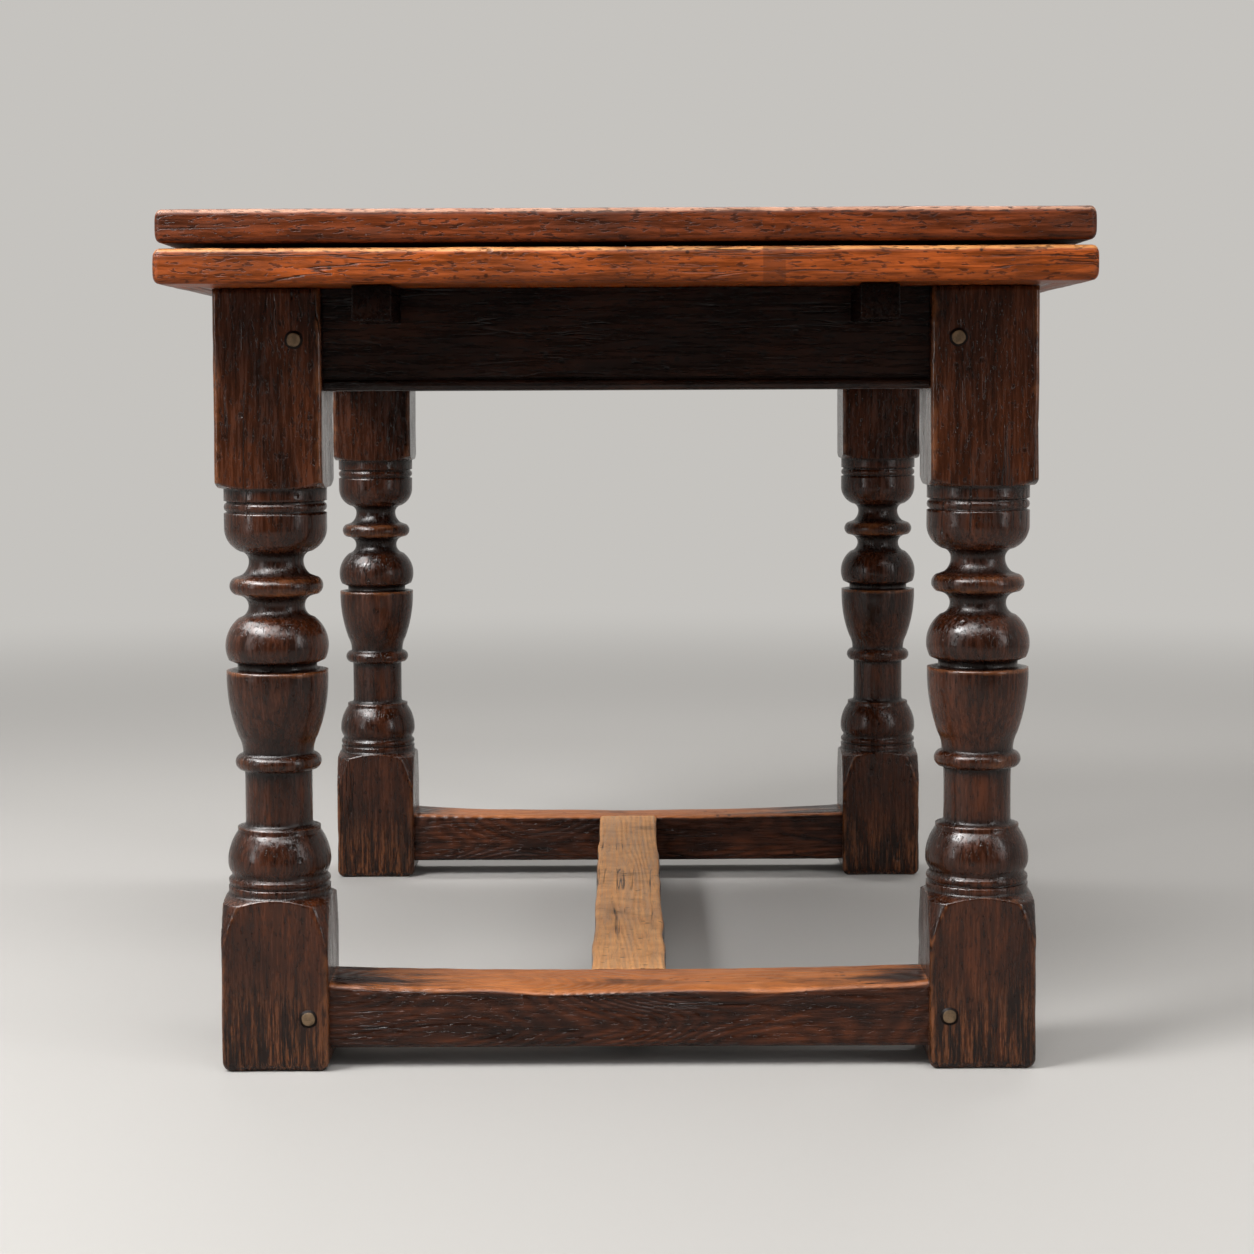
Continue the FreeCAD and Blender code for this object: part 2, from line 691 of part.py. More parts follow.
def loose_top():
    """Top of four planks between two cleats, with two guide pegs under it."""
    half = s.table_width / 2
    edge = s.table_length / 2
    reach = edge - s.cleat_width
    peg_y = reach + s.tongue_length / 2
    thick = s.top_thickness
    middles = []
    for number in range(PLANKS):
        bounds = plank_bounds(s.table_width, number)
        middles.append((bounds[0] + bounds[1]) / 2)
        tongue = s.tongue_thickness / 2
        holes = [(middles[-1], peg_y * end, thick / 2 - tongue, thick / 2 + tongue, small_bore)
                 for end in (-1, 1)]
        for side in (-1, 1):
            centre = guide_peg_x * side
            if bounds[0].value < centre.value < bounds[1].value:
                holes.append((centre, length(0), length(0), s.guide_peg_socket + s.bottom_clearance,
                              s.guide_peg_diameter + s.fit_clearance * 2))
        plank(f"top_plank_{number + 1}", bounds, (-reach, reach), thick, top_under, 0, holes,
              outer_edge(bounds, number))
    inset = s.cleat_width - s.tongue_length / 2
    cleat("top_cleat_front", s.table_width, s.cleat_width, thick, -half, -edge, top_under, 0, inset)
    cleat("top_cleat_back", s.table_width, s.cleat_width, thick, half, edge, top_under, 180, inset)
    dowels("top_cleat_pegs", "top_cleat_peg",
           [("Z", middle, peg_y * end, top_under, s.small_peg_diameter, thick)
            for end in (-1, 1) for middle in middles])
    dowels("top_guide_pegs", "top_guide_peg",
           [("Z", guide_peg_x * side, 0, top_under - s.guide_peg_drop, s.guide_peg_diameter,
             s.guide_peg_drop + s.guide_peg_socket) for side in (-1, 1)])


def leaf(name, turn, loper_x):
    """Leaf drawn at the near end and turned about Z to its own end, with its two lopers."""
    width = leaf_half * 2
    thick = s.leaf_thickness
    near_end = -leaf_edge + s.cleat_width
    far_end = -leaf_inner - s.inner_cleat_width
    outer_peg_y = near_end - s.tongue_length / 2
    inner_peg_y = far_end + s.tongue_length / 2
    peg_ys = [near_end + s.loper_peg_inset, near_end + s.loper_peg_inset + s.loper_peg_pitch]
    middles = []
    for number in range(PLANKS):
        bounds = plank_bounds(width, number)
        middles.append((bounds[0] + bounds[1]) / 2)
        tongue = s.tongue_thickness / 2
        holes = [(middles[-1], y, thick / 2 - tongue, thick / 2 + tongue, small_bore)
                 for y in (outer_peg_y, inner_peg_y)]
        for centre in (-loper_x, loper_x):
            if bounds[0].value < centre.value < bounds[1].value:
                holes.extend((centre, y, length(0), thick, small_bore) for y in peg_ys)
        plank(f"{name}_plank_{number + 1}", bounds, (near_end, far_end), thick, leaf_under, turn, holes,
              outer_edge(bounds, number))

    sign = 1 if turn == 0 else -1
    cleat(f"{name}_outer_cleat", width, s.cleat_width, thick, leaf_half * -sign, leaf_edge * -sign,
          leaf_under, turn, s.cleat_width - s.tongue_length / 2)
    cleat(f"{name}_inner_cleat", width, s.inner_cleat_width, thick, leaf_half * sign, leaf_inner * -sign,
          leaf_under, 180 - turn, s.inner_cleat_width - s.tongue_length / 2)

    front = -apron_face_y - s.loper_reach
    tail = apron_face_y - s.apron_thickness - s.loper_tail_gap
    for hand, side in (("left", -sign), ("right", sign)):
        body = new_body(f"{name}_loper_{hand}")
        half = s.loper_width / 2
        block(body, "head", "Pad", (-half, half), (front, -leaf_inner), (0, s.loper_height))
        block(body, "tail", "Pad", (-half, half), (front, tail), (0, s.loper_height - s.loper_tail_relief))
        for number, y in enumerate(peg_ys, 1):
            bore(body, f"peg_hole_{number}", "Z", 0, y,
                 (s.loper_height - s.loper_peg_depth - s.bottom_clearance, s.loper_height), small_bore)
        bore(body, "stop_peg_hole", "Z", 0, stop_peg_y, (0, s.stop_peg_socket + s.bottom_clearance),
             s.stop_peg_diameter + s.fit_clearance * 2)
        place(body, loper_x * side * sign, 0, loper_under, turn)

    groups = [
        dowels(f"{name}_cleat_pegs", f"{name}_cleat_peg",
               [("Z", middle, y, leaf_under, s.small_peg_diameter, thick)
                for y in (outer_peg_y, inner_peg_y) for middle in middles]),
        dowels(f"{name}_loper_pegs", f"{name}_loper_peg",
               [("Z", loper_x * side, y, leaf_under - s.loper_peg_depth, s.small_peg_diameter,
                 thick + s.loper_peg_depth) for side in (-1, 1) for y in peg_ys]),
        dowels(f"{name}_stop_pegs", f"{name}_stop_peg",
               [("Z", loper_x * side, stop_peg_y, loper_under - s.stop_peg_drop, s.stop_peg_diameter,
                 s.stop_peg_drop + s.stop_peg_socket) for side in (-1, 1)]),
    ]
    for group in groups:
        place(group, 0, 0, 0, turn)


def frame_pegs():
    """Pegs through the legs into the tenons, and through the centre board into the rails."""
    level = apron_under + s.apron_height / 2
    near_y = leg_face_y - s.apron_peg_length + s.peg_proud
    near_x = leg_face_x - s.apron_peg_length + s.peg_proud
    pegs = []
    for side in (-1, 1):
        for end in (-1, 1):
            start = near_y if end > 0 else -leg_face_y - s.peg_proud
            pegs.append(("Y", (clear_x + s.apron_peg_inset) * side, start, level,
                         s.peg_diameter, s.apron_peg_length))
            start = near_x if side > 0 else -leg_face_x - s.peg_proud
            pegs.append(("X", start, (clear_y + s.apron_peg_inset) * end, level,
                         s.peg_diameter, s.apron_peg_length))
    dowels("apron_pegs", "apron_peg", pegs)
    level = s.stretcher_lift + s.stretcher_height / 2
    near_y = leg_face_y - s.stretcher_peg_length + s.peg_proud
    pegs = []
    for side in (-1, 1):
        for end in (-1, 1):
            start = near_y if end > 0 else -leg_face_y - s.peg_proud
            pegs.append(("Y", (clear_x + s.stretcher_peg_inset) * side, start, level,
                         s.peg_diameter, s.stretcher_peg_length))
    dowels("stretcher_pegs", "stretcher_peg", pegs)
    dowels("centre_board_pegs", "centre_board_peg",
           [("Z", board_peg_x * side, rail_y * end, top_under - s.board_peg_length,
             s.peg_diameter, s.board_peg_length) for side in (-1, 1) for end in (-1, 1)])


def write_parts():
    """Check every object of the document and write each piece to its own file."""
    doc.recompute()
    for item in doc.Objects:
        if "Invalid" in item.State or "Error" in item.State:
            raise RuntimeError(f"{item.Name} failed: {item.State}")
    for piece in subparts:
        if piece.Shape.isNull() or not piece.Shape.isValid():
            raise RuntimeError(f"{piece.Label} has no valid shape")
    os.makedirs("parts", exist_ok=True)
    for piece in subparts:
        piece.Shape.exportStep(f"parts/{piece.Label}.step")
        print(f"{piece.Label}: {len(piece.Shape.Solids)} solids, {piece.Shape.Volume / 1000:.1f} cm3")


leg("leg_front_left", -1, -1)
leg("leg_front_right", 1, -1)
leg("leg_back_left", -1, 1)
leg("leg_back_right", 1, 1)
apron("apron_front", clear_x * 2, -clear_x, -apron_face_y, 0,
      notches=(clear_x - near_loper_x, clear_x + near_loper_x))
apron("apron_back", clear_x * 2, clear_x, apron_face_y, 180,
      notches=(clear_x - far_loper_x, clear_x + far_loper_x))
apron("apron_left", clear_y * 2, -apron_face_x, clear_y, -90,
      mortises=(clear_y - rail_y, clear_y + rail_y))
apron("apron_right", clear_y * 2, apron_face_x, -clear_y, 90,
      mortises=(clear_y - rail_y, clear_y + rail_y))
end_stretcher("stretcher_front", -1)
end_stretcher("stretcher_back", 1)
centre_stretcher()
keeper_rail("keeper_rail_front", -1, far_loper_x)
keeper_rail("keeper_rail_back", 1, near_loper_x)
centre_board()
frame_pegs()
loose_top()
leaf("leaf_front", 0, near_loper_x)
leaf("leaf_back", 180, far_loper_x)
write_parts()
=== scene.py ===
"""Dresses the draw-leaf table: worn oak surfaces over the measured frame, on a plain pale floor."""
import math
import bpy
import numpy as np
from bpy.props import FloatProperty, FloatVectorProperty, PointerProperty
from mathutils import Matrix, Vector


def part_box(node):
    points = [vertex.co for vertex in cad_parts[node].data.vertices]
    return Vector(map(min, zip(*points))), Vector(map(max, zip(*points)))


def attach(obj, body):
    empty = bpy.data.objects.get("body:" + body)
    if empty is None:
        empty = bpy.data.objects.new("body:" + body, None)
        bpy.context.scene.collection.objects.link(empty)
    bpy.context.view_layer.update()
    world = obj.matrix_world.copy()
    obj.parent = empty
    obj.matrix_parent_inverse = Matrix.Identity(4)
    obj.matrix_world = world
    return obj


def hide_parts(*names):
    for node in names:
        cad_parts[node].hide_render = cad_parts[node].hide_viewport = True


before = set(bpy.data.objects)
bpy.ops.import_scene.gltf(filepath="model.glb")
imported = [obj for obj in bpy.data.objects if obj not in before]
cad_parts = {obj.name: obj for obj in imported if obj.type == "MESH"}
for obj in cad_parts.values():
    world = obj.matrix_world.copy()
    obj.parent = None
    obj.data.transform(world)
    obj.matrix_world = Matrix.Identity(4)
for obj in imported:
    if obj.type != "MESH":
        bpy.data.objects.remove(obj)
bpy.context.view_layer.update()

bl_info = {
    "name": "Draw-leaf table",
    "version": (1, 0, 0),
    "blender": (4, 5, 0),
    "location": "View3D > Sidebar > Table",
    "description": "Builds the worn oak surfaces of a draw-leaf table and its stage",
    "category": "Object",
}

MM = 0.001
GRAIN = {"X": (0, 1, 2), "Y": (1, 2, 0), "Z": (2, 0, 1)}
# How many times longer the oak's figure is along the grain than across it: short pieces, long boards, legs
STRETCH = {"X": 16.0, "Y": 42.0, "Z": 14.0}
# Shift of the noise's lattice, and the numbers that pick a value for each of its corners
LATTICE_SHIFT = 977.0
LATTICE_PRIMES = (73856093, 19349663, 83492791)
LEGS = ("leg_front_left", "leg_front_right", "leg_back_left", "leg_back_right")

# Turned members of a leg in millimetres, from the upper block down:
# (edge that follows this point, drop from the point above, radius). An edge is a line, or an arc that is
# upright at its start or its end
UPPER_TURNING = (
    ("line", 12.0, 46.4), ("line", 11.0, 46.4),
    ("end", 1.2, 43.4), ("start", 4.5, 46.4), ("line", 4.5, 43.4),
    ("line", 1.2, 46.4), ("start", 13.0, 46.4), ("end", 21.0, 33.3),
    ("start", 9.0, 24.8), ("end", 14.0, 33.0),
    ("start", 8.5, 42.3), ("end", 8.5, 33.0),
    ("start", 9.5, 25.7), ("end", 11.0, 34.7),
    ("start", 25.0, 46.8), ("line", 12.5, 43.8), ("line", 3.5, 36.0), ("line", 5.0, 36.0),
    ("line", 1.2, 46.0), ("start", 5.0, 46.0),
    ("end", 54.0, 36.3), ("end", 16.0, 32.2),
    ("start", 7.7, 39.2), ("line", 7.7, 30.6),
)
# The same from the foot block up: (edge that leads here from above, rise from the point below, radius)
LOWER_TURNING = (
    ("line", 100.0, 58.0), ("line", 6.0, 46.4), ("line", 6.5, 46.4),
    ("start", 1.2, 43.4), ("end", 4.0, 46.4), ("line", 4.0, 43.4),
    ("start", 2.5, 43.4), ("end", 10.0, 46.8),
    ("line", 27.6, 37.8), ("start", 4.0, 37.8), ("line", 5.0, 30.6),
)
UPPER_BLOCK = 176.5
FOOT_BLOCK = 155.5
TURNING_OUTSIDE = 72.0

# Spacing of a leg's rings and a radius beyond its blocks, in millimetres
RING_SPACING = 1.5
UNCUT = 99.0
# Rings of a leg close to the floor, in millimetres, and points round a quarter of it, in degrees
FOOT_RINGS = (8.5, 6.8, 5.3, 4.0, 2.9, 2.0, 1.2, 0.6, 0.2, 0.0)
CORNER_ANGLES = (42.5, 43.3, 43.9, 44.4, 45, 45.6, 46.1, 46.7, 47.5)

# Softness of the shoulders left by the lathe, reach of their wear, and most that a foot's edge goes in
SHOULDER_BLEND = 0.0006
SHOULDER_REACH = 0.0016
FOOT_INSET = 0.0075
# Reach of the wear from an arris and a joint, of the dirt in a joint, and depth of the finishes' bumps
EDGE_REACH = 0.006
JOINT_REACH = 0.012
DIRT_REACH = 0.0012
BUMP_DEPTH = 0.0004
# Where along Y the end stretchers' outer arrises are rubbed, over what width, and rounding of stretcher ends
RUB_START = 0.455
RUB_WIDTH = 0.05
STRETCHER_END = 0.0005
# How much lower the lopers' tails are planed, depth of a drawn peg, and pegs' places from a leg's inner faces
LOPER_RELIEF = 0.001
PEG_DEPTH = 0.012
APRON_PEG_INSET = 0.024
STRETCHER_PEG_INSET = 0.018
# How dark the pores show in the top and the leaves, by the grain's direction
PANEL_PORES = {"X": 0.75, "Y": 0.3}

# Patches across the near leaf's edge as (middle, half width, darkness) along X, and nail holes as (X, Z)
INLAYS = ((0.1255, 0.0095, 0.6), (0.032, 0.046, 0.12), (0.340, 0.011, 0.25))
NAILS = ((-0.250, 0.7115), (0.052, 0.7235), (0.300, 0.7245), (-0.118, 0.704))
NAIL_RADIUS = 0.0018

# Lamps as (name, watts, place, width and height), in metres
LAMPS = (
    ("window", 88.0, (-1.75, -1.45, 2.45), (1.3, 0.9)),
    ("gloss", 300.0, (-1.3, -0.9, 2.7), (3.4, 2.0)),
    ("front", 30.0, (0.4, -2.4, 2.6), (2.2, 0.4)),
    ("rim", 42.0, (0.2, 1.3, 2.9), (2.2, 0.35)),
    ("left", 14.0, (-2.3, -1.8, 1.0), (0.4, 1.6)),
    ("right", 20.0, (2.2, -1.9, 1.25), (0.5, 1.9)),
)


def setting(kind, **more):
    """Maker of settings of one kind, each from a name, a description and a default."""
    return lambda name, about, default: kind(name=name, description=about, default=default, **more)


PlainProperty = setting(FloatProperty)
LengthProperty = setting(FloatProperty, unit="LENGTH")
AngleProperty = setting(FloatProperty, subtype="ANGLE")
ColourProperty = setting(FloatVectorProperty, subtype="COLOR", size=3)


class TableSizes(bpy.types.PropertyGroup):
    """Sizes of the wear and of the small forms, in metres."""
    leg_ease: LengthProperty("Leg arris", "Rounding of the leg blocks' arrises", 0.0042)
    foot_ease: LengthProperty("Foot edge", "Rounding of the feet's lower edges", 0.010)
    board_ease: LengthProperty("Board edge", "Rounding of the top's and leaves' outer edges", 0.0065)
    joint_ease: LengthProperty("Joint edge", "Rounding of the edges where boards meet", 0.0007)
    stretcher_ease: LengthProperty("Stretcher arris", "Rounding of the stretchers' arrises", 0.0068)
    stretcher_dip: LengthProperty("Stretcher dip", "Hollow worn into the end stretchers", 0.004)
    stretcher_rub: LengthProperty("Stretcher rub", "Further wear of the end stretchers' arrises", 0.0050)
    loper_ease: LengthProperty("Loper arris", "Rounding of the lopers' arrises", 0.0016)
    hollow: LengthProperty("Uneven surface", "Depth of the slow unevenness of old planed faces", 0.0005)
    chip: LengthProperty("Chips", "Depth of chips and bruises along the arrises", 0.0020)
    peg_radius: LengthProperty("Peg radius", "Radius of the pegs through the legs", 0.0064)
    peg_proud: LengthProperty("Peg head", "How far a peg stands out of its leg", 0.0013)


class TableColours(bpy.types.PropertyGroup):
    """Colours of the old oak, in linear light."""
    frame_dark: ColourProperty("Frame, dark", "Deep brown of the legs and aprons", (0.0115, 0.0034, 0.0015))
    frame_light: ColourProperty("Frame, streaks", "Reddish streaks of the frame", (0.054, 0.0140, 0.0044))
    # Frame, worn: rubbed arrises, and also a painted highlight on the legs' arrises, crests and shoulders
    frame_worn: ColourProperty("Frame, worn", "Orange-brown of the rubbed arrises", (0.20, 0.068, 0.023))
    top_dark: ColourProperty("Top, dark", "Dark lines of the top", (0.060, 0.0145, 0.0044))
    top_light: ColourProperty("Top, light", "Red-brown of the top", (0.205, 0.039, 0.0060))
    # Top, worn: pale upper arris, partly wear and partly a painted highlight along it
    top_worn: ColourProperty("Top, worn", "Pale rubbed upper arris of the top", (0.52, 0.27, 0.17))
    leaf_dark: ColourProperty("Leaf, dark", "Dark lines of the leaves", (0.115, 0.026, 0.0052))
    leaf_light: ColourProperty("Leaf, light", "Orange-brown of the leaves", (0.305, 0.060, 0.0070))
    # Leaf, worn: pale upper arris, partly wear and partly a painted highlight along it
    leaf_worn: ColourProperty("Leaf, worn", "Pale rubbed upper arris of the leaves", (0.66, 0.30, 0.10))
    tread: ColourProperty("Tread", "Pale worn top of the end stretchers", (0.40, 0.140, 0.040))
    tread_centre: ColourProperty("Tread, centre", "Pale worn top of the long stretcher", (0.60, 0.31, 0.125))
    peg: ColourProperty("Pegs", "Pale end grain of the pegs", (0.165, 0.108, 0.062))
    background: ColourProperty("Background", "Pale ground behind the table", (0.56, 0.545, 0.52))
    floor: ColourProperty("Floor", "Plain pale floor", (0.50, 0.485, 0.465))


class StageSettings(bpy.types.PropertyGroup):
    """Camera and even light."""
    camera_distance: LengthProperty("Camera distance", "From the front legs' faces to the camera", 2.30)
    camera_height: LengthProperty("Camera height", "Height of the camera", 0.6066)
    camera_pitch: AngleProperty("Camera pitch", "How far the camera looks down", math.radians(3.5))
    camera_roll: AngleProperty("Camera roll", "Tilt of the camera about its sight line", math.radians(-0.25))
    camera_lens: PlainProperty("Lens", "Focal length on a 36 mm sensor, in millimetres", 74.985)
    camera_shift: PlainProperty("Camera shift", "Upright shift of the lens, as a share of the frame", -0.0608)
    sky: PlainProperty("Sky", "Strength of the even light all round", 0.32)
    room: PlainProperty("Dim room", "Brightness of the room opposite the backdrop, as a share of it", 0.2)


def sizes():
    """The table's sizes."""
    return bpy.context.scene.table_sizes


def colours():
    """The table's colours."""
    return bpy.context.scene.table_colours


def new_object(name, data):
    """Object in the scene with some data."""
    thing = bpy.data.objects.new(name, data)
    bpy.context.scene.collection.objects.link(thing)
    return thing


def corners(node):
    """Lowest and highest corner of a CAD node, free to be changed."""
    return [np.array(corner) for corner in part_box(node)]


# Shapes

def limit(values):
    """Values kept between 0 and 1."""
    return np.clip(values, 0, 1)


def ripple(points, scale, seed):
    """Smooth noise from 0 to 1: random values on a cubic lattice, eased between its corners."""
    values = np.random.default_rng(seed).random(4096)
    places = points / scale + LATTICE_SHIFT
    base = np.floor(places).astype(np.int64)
    part = places - base
    part = part * part * (3 - 2 * part)
    total = np.zeros(places.shape[:-1])
    for corner in np.ndindex(2, 2, 2):
        key = np.bitwise_xor.reduce((base + corner) * LATTICE_PRIMES, axis=-1)
        weight = np.prod(np.where(np.array(corner) == 1, part, 1 - part), axis=-1)
        total += weight * values[key % len(values)]
    return total


def scattered(points, scale, seed, least):
    """Scattered spots from 0 to 1 where smooth noise is over a least value."""
    return limit(ripple(points, scale, seed) - least) / (1 - least)


def make_piece(node, shape, material, body):
    """Piece that shows in place of a node: closed shells with point attributes, their faces turned outwards.

    shape holds points, faces and marks. A triangle is a face whose last corner is given twice. The signed
    volume tells which way the faces point.
    """
    verts, faces, marks = shape
    first, second, third, fourth = (verts[faces[:, place]] for place in range(4))
    volume = (first * (np.cross(second, third) + np.cross(third, fourth))).sum()
    if volume < 0:
        faces = faces[:, [1, 0, 3, 2]]
    triangles = faces[:, 3] == faces[:, 2]
    name = "worn_" + node
    mesh = bpy.data.meshes.new(name)
    mesh.from_pydata(verts.tolist(), [], faces[~triangles].tolist() + faces[triangles][:, :3].tolist())
    mesh.polygons.foreach_set("use_smooth", np.ones(len(mesh.polygons), dtype=bool))
    for word, values in marks.items():
        attribute = mesh.attributes.new(word, "FLOAT", "POINT")
        attribute.data.foreach_set("value", values.astype(np.float32))
    mesh.update()
    mesh.materials.append(material)
    piece = new_object(name, mesh)
    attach(piece, body)
    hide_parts(node)


def skin(rings, around, first=0):
    """Faces of a closed tube: quads between rings and a fan of triangles to a point at both ends."""
    turn = np.arange(around)
    following = (turn + 1) % around
    ring = np.arange(rings - 1)[:, None] * around
    above = ring + around
    quads = np.stack([ring + turn, ring + following, above + following, above + turn], axis=-1)
    start = np.full(around, rings * around)
    top = (rings - 1) * around
    low = np.stack([following, turn, start, start], axis=-1)
    high = np.stack([top + turn, top + following, start + 1, start + 1], axis=-1)
    return np.concatenate([quads.reshape(-1, 4), low, high]) + first


def rounded_section(flat_points, corner_points):
    """Rounded rectangle as core shares (-1 to 1) and outward directions.

    A point is core share times (half size less radius) plus direction times radius. The points lie
    closer together towards the corners. Each side is the one before it after a quarter turn.
    """
    share = np.sin(np.linspace(-1, 1, flat_points + 2)[1:-1] * math.pi / 2)
    arc = np.append(np.zeros(flat_points), np.linspace(0, math.pi / 2, corner_points))
    core = [np.stack([np.ones_like(arc), np.append(share, np.ones(corner_points))], axis=-1)]
    direction = [np.stack([np.cos(arc), np.sin(arc)], axis=-1)]
    for sides in (core, direction):
        for turn in range(3):
            sides.append(sides[-1][:, ::-1] * (-1, 1))
    return np.concatenate(core), np.concatenate(direction)


def panel_box(nodes):
    """Lowest and highest corner of a panel made of several boards."""
    boxes = np.array([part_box(node) for node in nodes])
    return boxes[:, 0].min(axis=0), boxes[:, 1].max(axis=0)


def joined_sides(low, high, panel):
    """Sides of a board, as (axis, sign), that lie inside its panel's box and so meet another board."""
    if panel is None:
        return []
    faces = ((-1, panel[0] - low), (1, panel[1] - high))
    return [(axis, sign) for sign, inset in faces for axis in range(3) if sign * inset[axis] > MM]


def board_rings(reach, wide, tall, end_ease, step):
    """Places of the rings along a board, their half sizes, and how far their outward directions lean out.

    The rings keep the full section between the ends. At each end they close over a quarter circle and then
    shrink to the middle of the end face.
    """
    bend = np.linspace(0, math.pi / 2, 5)
    shrink = np.array([0.97, 0.85, 0.6, 0.35, 0.12]) * 0.98
    stations = np.arange(-reach + end_ease, reach - end_ease, step)[2:-1]
    near_end = reach - end_ease - np.array([MM, 3 * MM])
    middle = np.sort(np.concatenate([-near_end, stations, near_end]))
    closing = np.concatenate([np.full(5, reach), reach - end_ease * (1 - np.cos(bend))])
    leaning = np.concatenate([np.zeros(5), np.sin(bend)])
    along = np.concatenate([-closing, middle, closing[::-1]])
    lean = np.concatenate([leaning, np.ones(len(middle)), leaning[::-1]])
    halves = []
    for half in (wide, tall):
        end = np.concatenate([half - shrink * half - end_ease, half - end_ease * (1 - np.sin(bend))])
        halves.append(np.maximum(np.concatenate([end, np.full(len(middle), half), end[::-1]]), 0.4 * MM))
    return along, halves, lean


def worn_board(low, high, grain, ease, end_ease, seed, step=0.008, chips=1.0, reshape=None, panel=None):
    """Board with rounded, bruised edges, as a rounded rectangle carried along the grain.

    Every point is pushed in along its outward direction by slow unevenness and, near the edges, by chips, so
    the board stays inside its box. A side that lies inside the panel's box meets another board: its arrises
    stay sharp and whole, and hold dirt. reshape may then change the points and marks.
    """
    low, high = np.asarray(low), np.asarray(high)
    axes = GRAIN[grain]
    centre = (low + high) / 2
    reach, wide, tall = ((high - low) / 2)[list(axes)]
    ease = min(ease, wide * 0.9, tall * 0.9)
    end_ease = min(end_ease, reach * 0.4)
    core, direction = rounded_section(14, 6)
    joined = joined_sides(low, high, panel)
    corner = np.full(len(core), ease)
    for axis, sign in joined:
        if axis != axes[0]:
            corner[core[:, axes.index(axis) - 1] * sign > 0] = min(ease, sizes().joint_ease)

    along, halves, lean = board_rings(reach, wide, tall, end_ease, step)
    radius = np.minimum(np.minimum(*halves)[:, None] * 0.9, corner)
    world = np.empty((len(along), len(core), 3))
    out = np.empty_like(world)
    world[..., axes[0]] = along[:, None]
    out[..., axes[0]] = (np.sign(along) * np.sqrt(limit(1 - lean ** 2)))[:, None]
    for place, half in enumerate(halves):
        axis = axes[place + 1]
        world[..., axis] = core[:, place] * (half[:, None] - radius) + direction[:, place] * radius
        out[..., axis] = direction[:, place] * lean[:, None]
    gaps = np.sort((high - low) / 2 - np.abs(world), axis=-1)
    world = world + centre

    joint_gap = np.full(radius.shape, 1.0)
    for axis, sign in joined:
        joint_gap = np.minimum(joint_gap, np.abs((low, high)[sign > 0][axis] - world[..., axis]))
    edge = np.exp(-np.maximum(gaps[..., 1], 0) / EDGE_REACH) * limit(joint_gap / JOINT_REACH)
    bruise = scattered(world, 0.019, seed + 1, 0.42)
    nick = scattered(world, 0.007, seed + 2, 0.62)
    push = 0.15 * MM + sizes().hollow * ripple(world, 0.045, seed)
    push = push + edge ** 2 * chips * sizes().chip * (0.7 * bruise ** 1.5 + 0.5 * nick * bruise)
    world = world - out * push[..., None]
    # The wear mark is kept to upward-facing arrises, so it paints a highlight along the upper edge as well as
    # wear
    marks = {"wear": 1.4 * edge * limit(2 * out[..., 2]), "tread": np.zeros_like(edge),
             "recess": np.exp(-joint_gap / DIRT_REACH)}
    if reshape is not None:
        world, marks = reshape(world, out, marks)
    marks["board"] = np.full(edge.shape, np.random.default_rng(seed).random())
    poles = centre + np.array([[-1], [1]]) * np.eye(3)[axes[0]] * (reach - 0.2 * MM)
    verts = np.concatenate([world.reshape(-1, 3), poles])
    marks = {word: np.append(values.ravel(), values.ravel()[[0, -1]]) for word, values in marks.items()}
    return verts, skin(len(along), len(core)), marks


def arc_radius(start, finish, kind, level):
    """Radius at a level on an arc between two (radius, level) points.

    The arc is upright at its start or its end, or level at its end. Its centre then lies level with that
    point, or plumb over it, at the distance that makes the circle pass through the other point.
    """
    pivot, other = (start, finish) if kind == "start" else (finish, start)
    along = 1 if kind == "level end" else 0
    step = other[along] - pivot[along]
    rise = other[1 - along] - pivot[1 - along]
    offset = (step * step + rise * rise) / (2 * step)
    centre = list(pivot)
    centre[along] += offset
    side = math.copysign(1, (pivot, other)[along][0] - centre[0])
    return centre[0] + side * np.sqrt(np.clip(offset ** 2 - (level - centre[1]) ** 2, 0, None))


def turning(top):
    """Levels and radii down the turned part of a leg, in millimetres, from its members."""
    level = top - UPPER_BLOCK + UPPER_TURNING[0][1]
    points = [("level end", TURNING_OUTSIDE, level)]
    for kind, drop, radius in UPPER_TURNING:
        level -= drop
        points.append((kind, radius, level))
    level = FOOT_BLOCK - LOWER_TURNING[0][1] - LOWER_TURNING[1][1]
    rising = [("line", TURNING_OUTSIDE, level)]
    following = "end"
    for kind, rise, radius in LOWER_TURNING:
        level += rise
        rising.append((following, radius, level))
        following = kind
    points += rising[::-1]
    levels, radii = [], []
    for (kind, *start), (_, *finish) in zip(points, points[1:]):
        run = math.hypot(finish[0] - start[0], finish[1] - start[1])
        count = max(3, int(run / RING_SPACING))
        level = np.linspace(start[1], finish[1], count)
        if kind == "line":
            radius = np.linspace(start[0], finish[0], count)
        else:
            radius = arc_radius(start, finish, kind, level)
        levels.append(level[:-1])
        radii.append(radius[:-1])
    return np.append(np.concatenate(levels), finish[1]), np.append(np.concatenate(radii), finish[0])


def block_section(half, angle):
    """Radius of a leg's square block at some angles: flat sides, and a circle's arc over each arris."""
    ease = sizes().leg_ease
    inner = half - ease
    fold = np.abs((angle + math.pi / 4) % (math.pi / 2) - math.pi / 4)
    corner_line = inner * (np.cos(fold) + np.sin(fold))
    bulge = np.sqrt(np.clip(corner_line ** 2 - 2 * inner ** 2 + ease ** 2, 0, None))
    return np.where(half * np.tan(fold) > inner, corner_line + bulge, half / np.cos(fold))


def turned_relief(levels, radii, wanted):
    """How far the turned members stand out of their smoothed outline at some levels, all in millimetres."""
    even = np.arange(0, wanted[0], 0.5)
    outline = np.interp(even, levels[::-1], np.minimum(radii, 52)[::-1])
    kernel = np.exp(-0.5 * (np.arange(-30, 31) / 9.0) ** 2)
    smooth = np.convolve(np.pad(outline, 30, mode="edge"), kernel / kernel.sum(), mode="valid")
    return np.interp(wanted, even, outline - smooth)


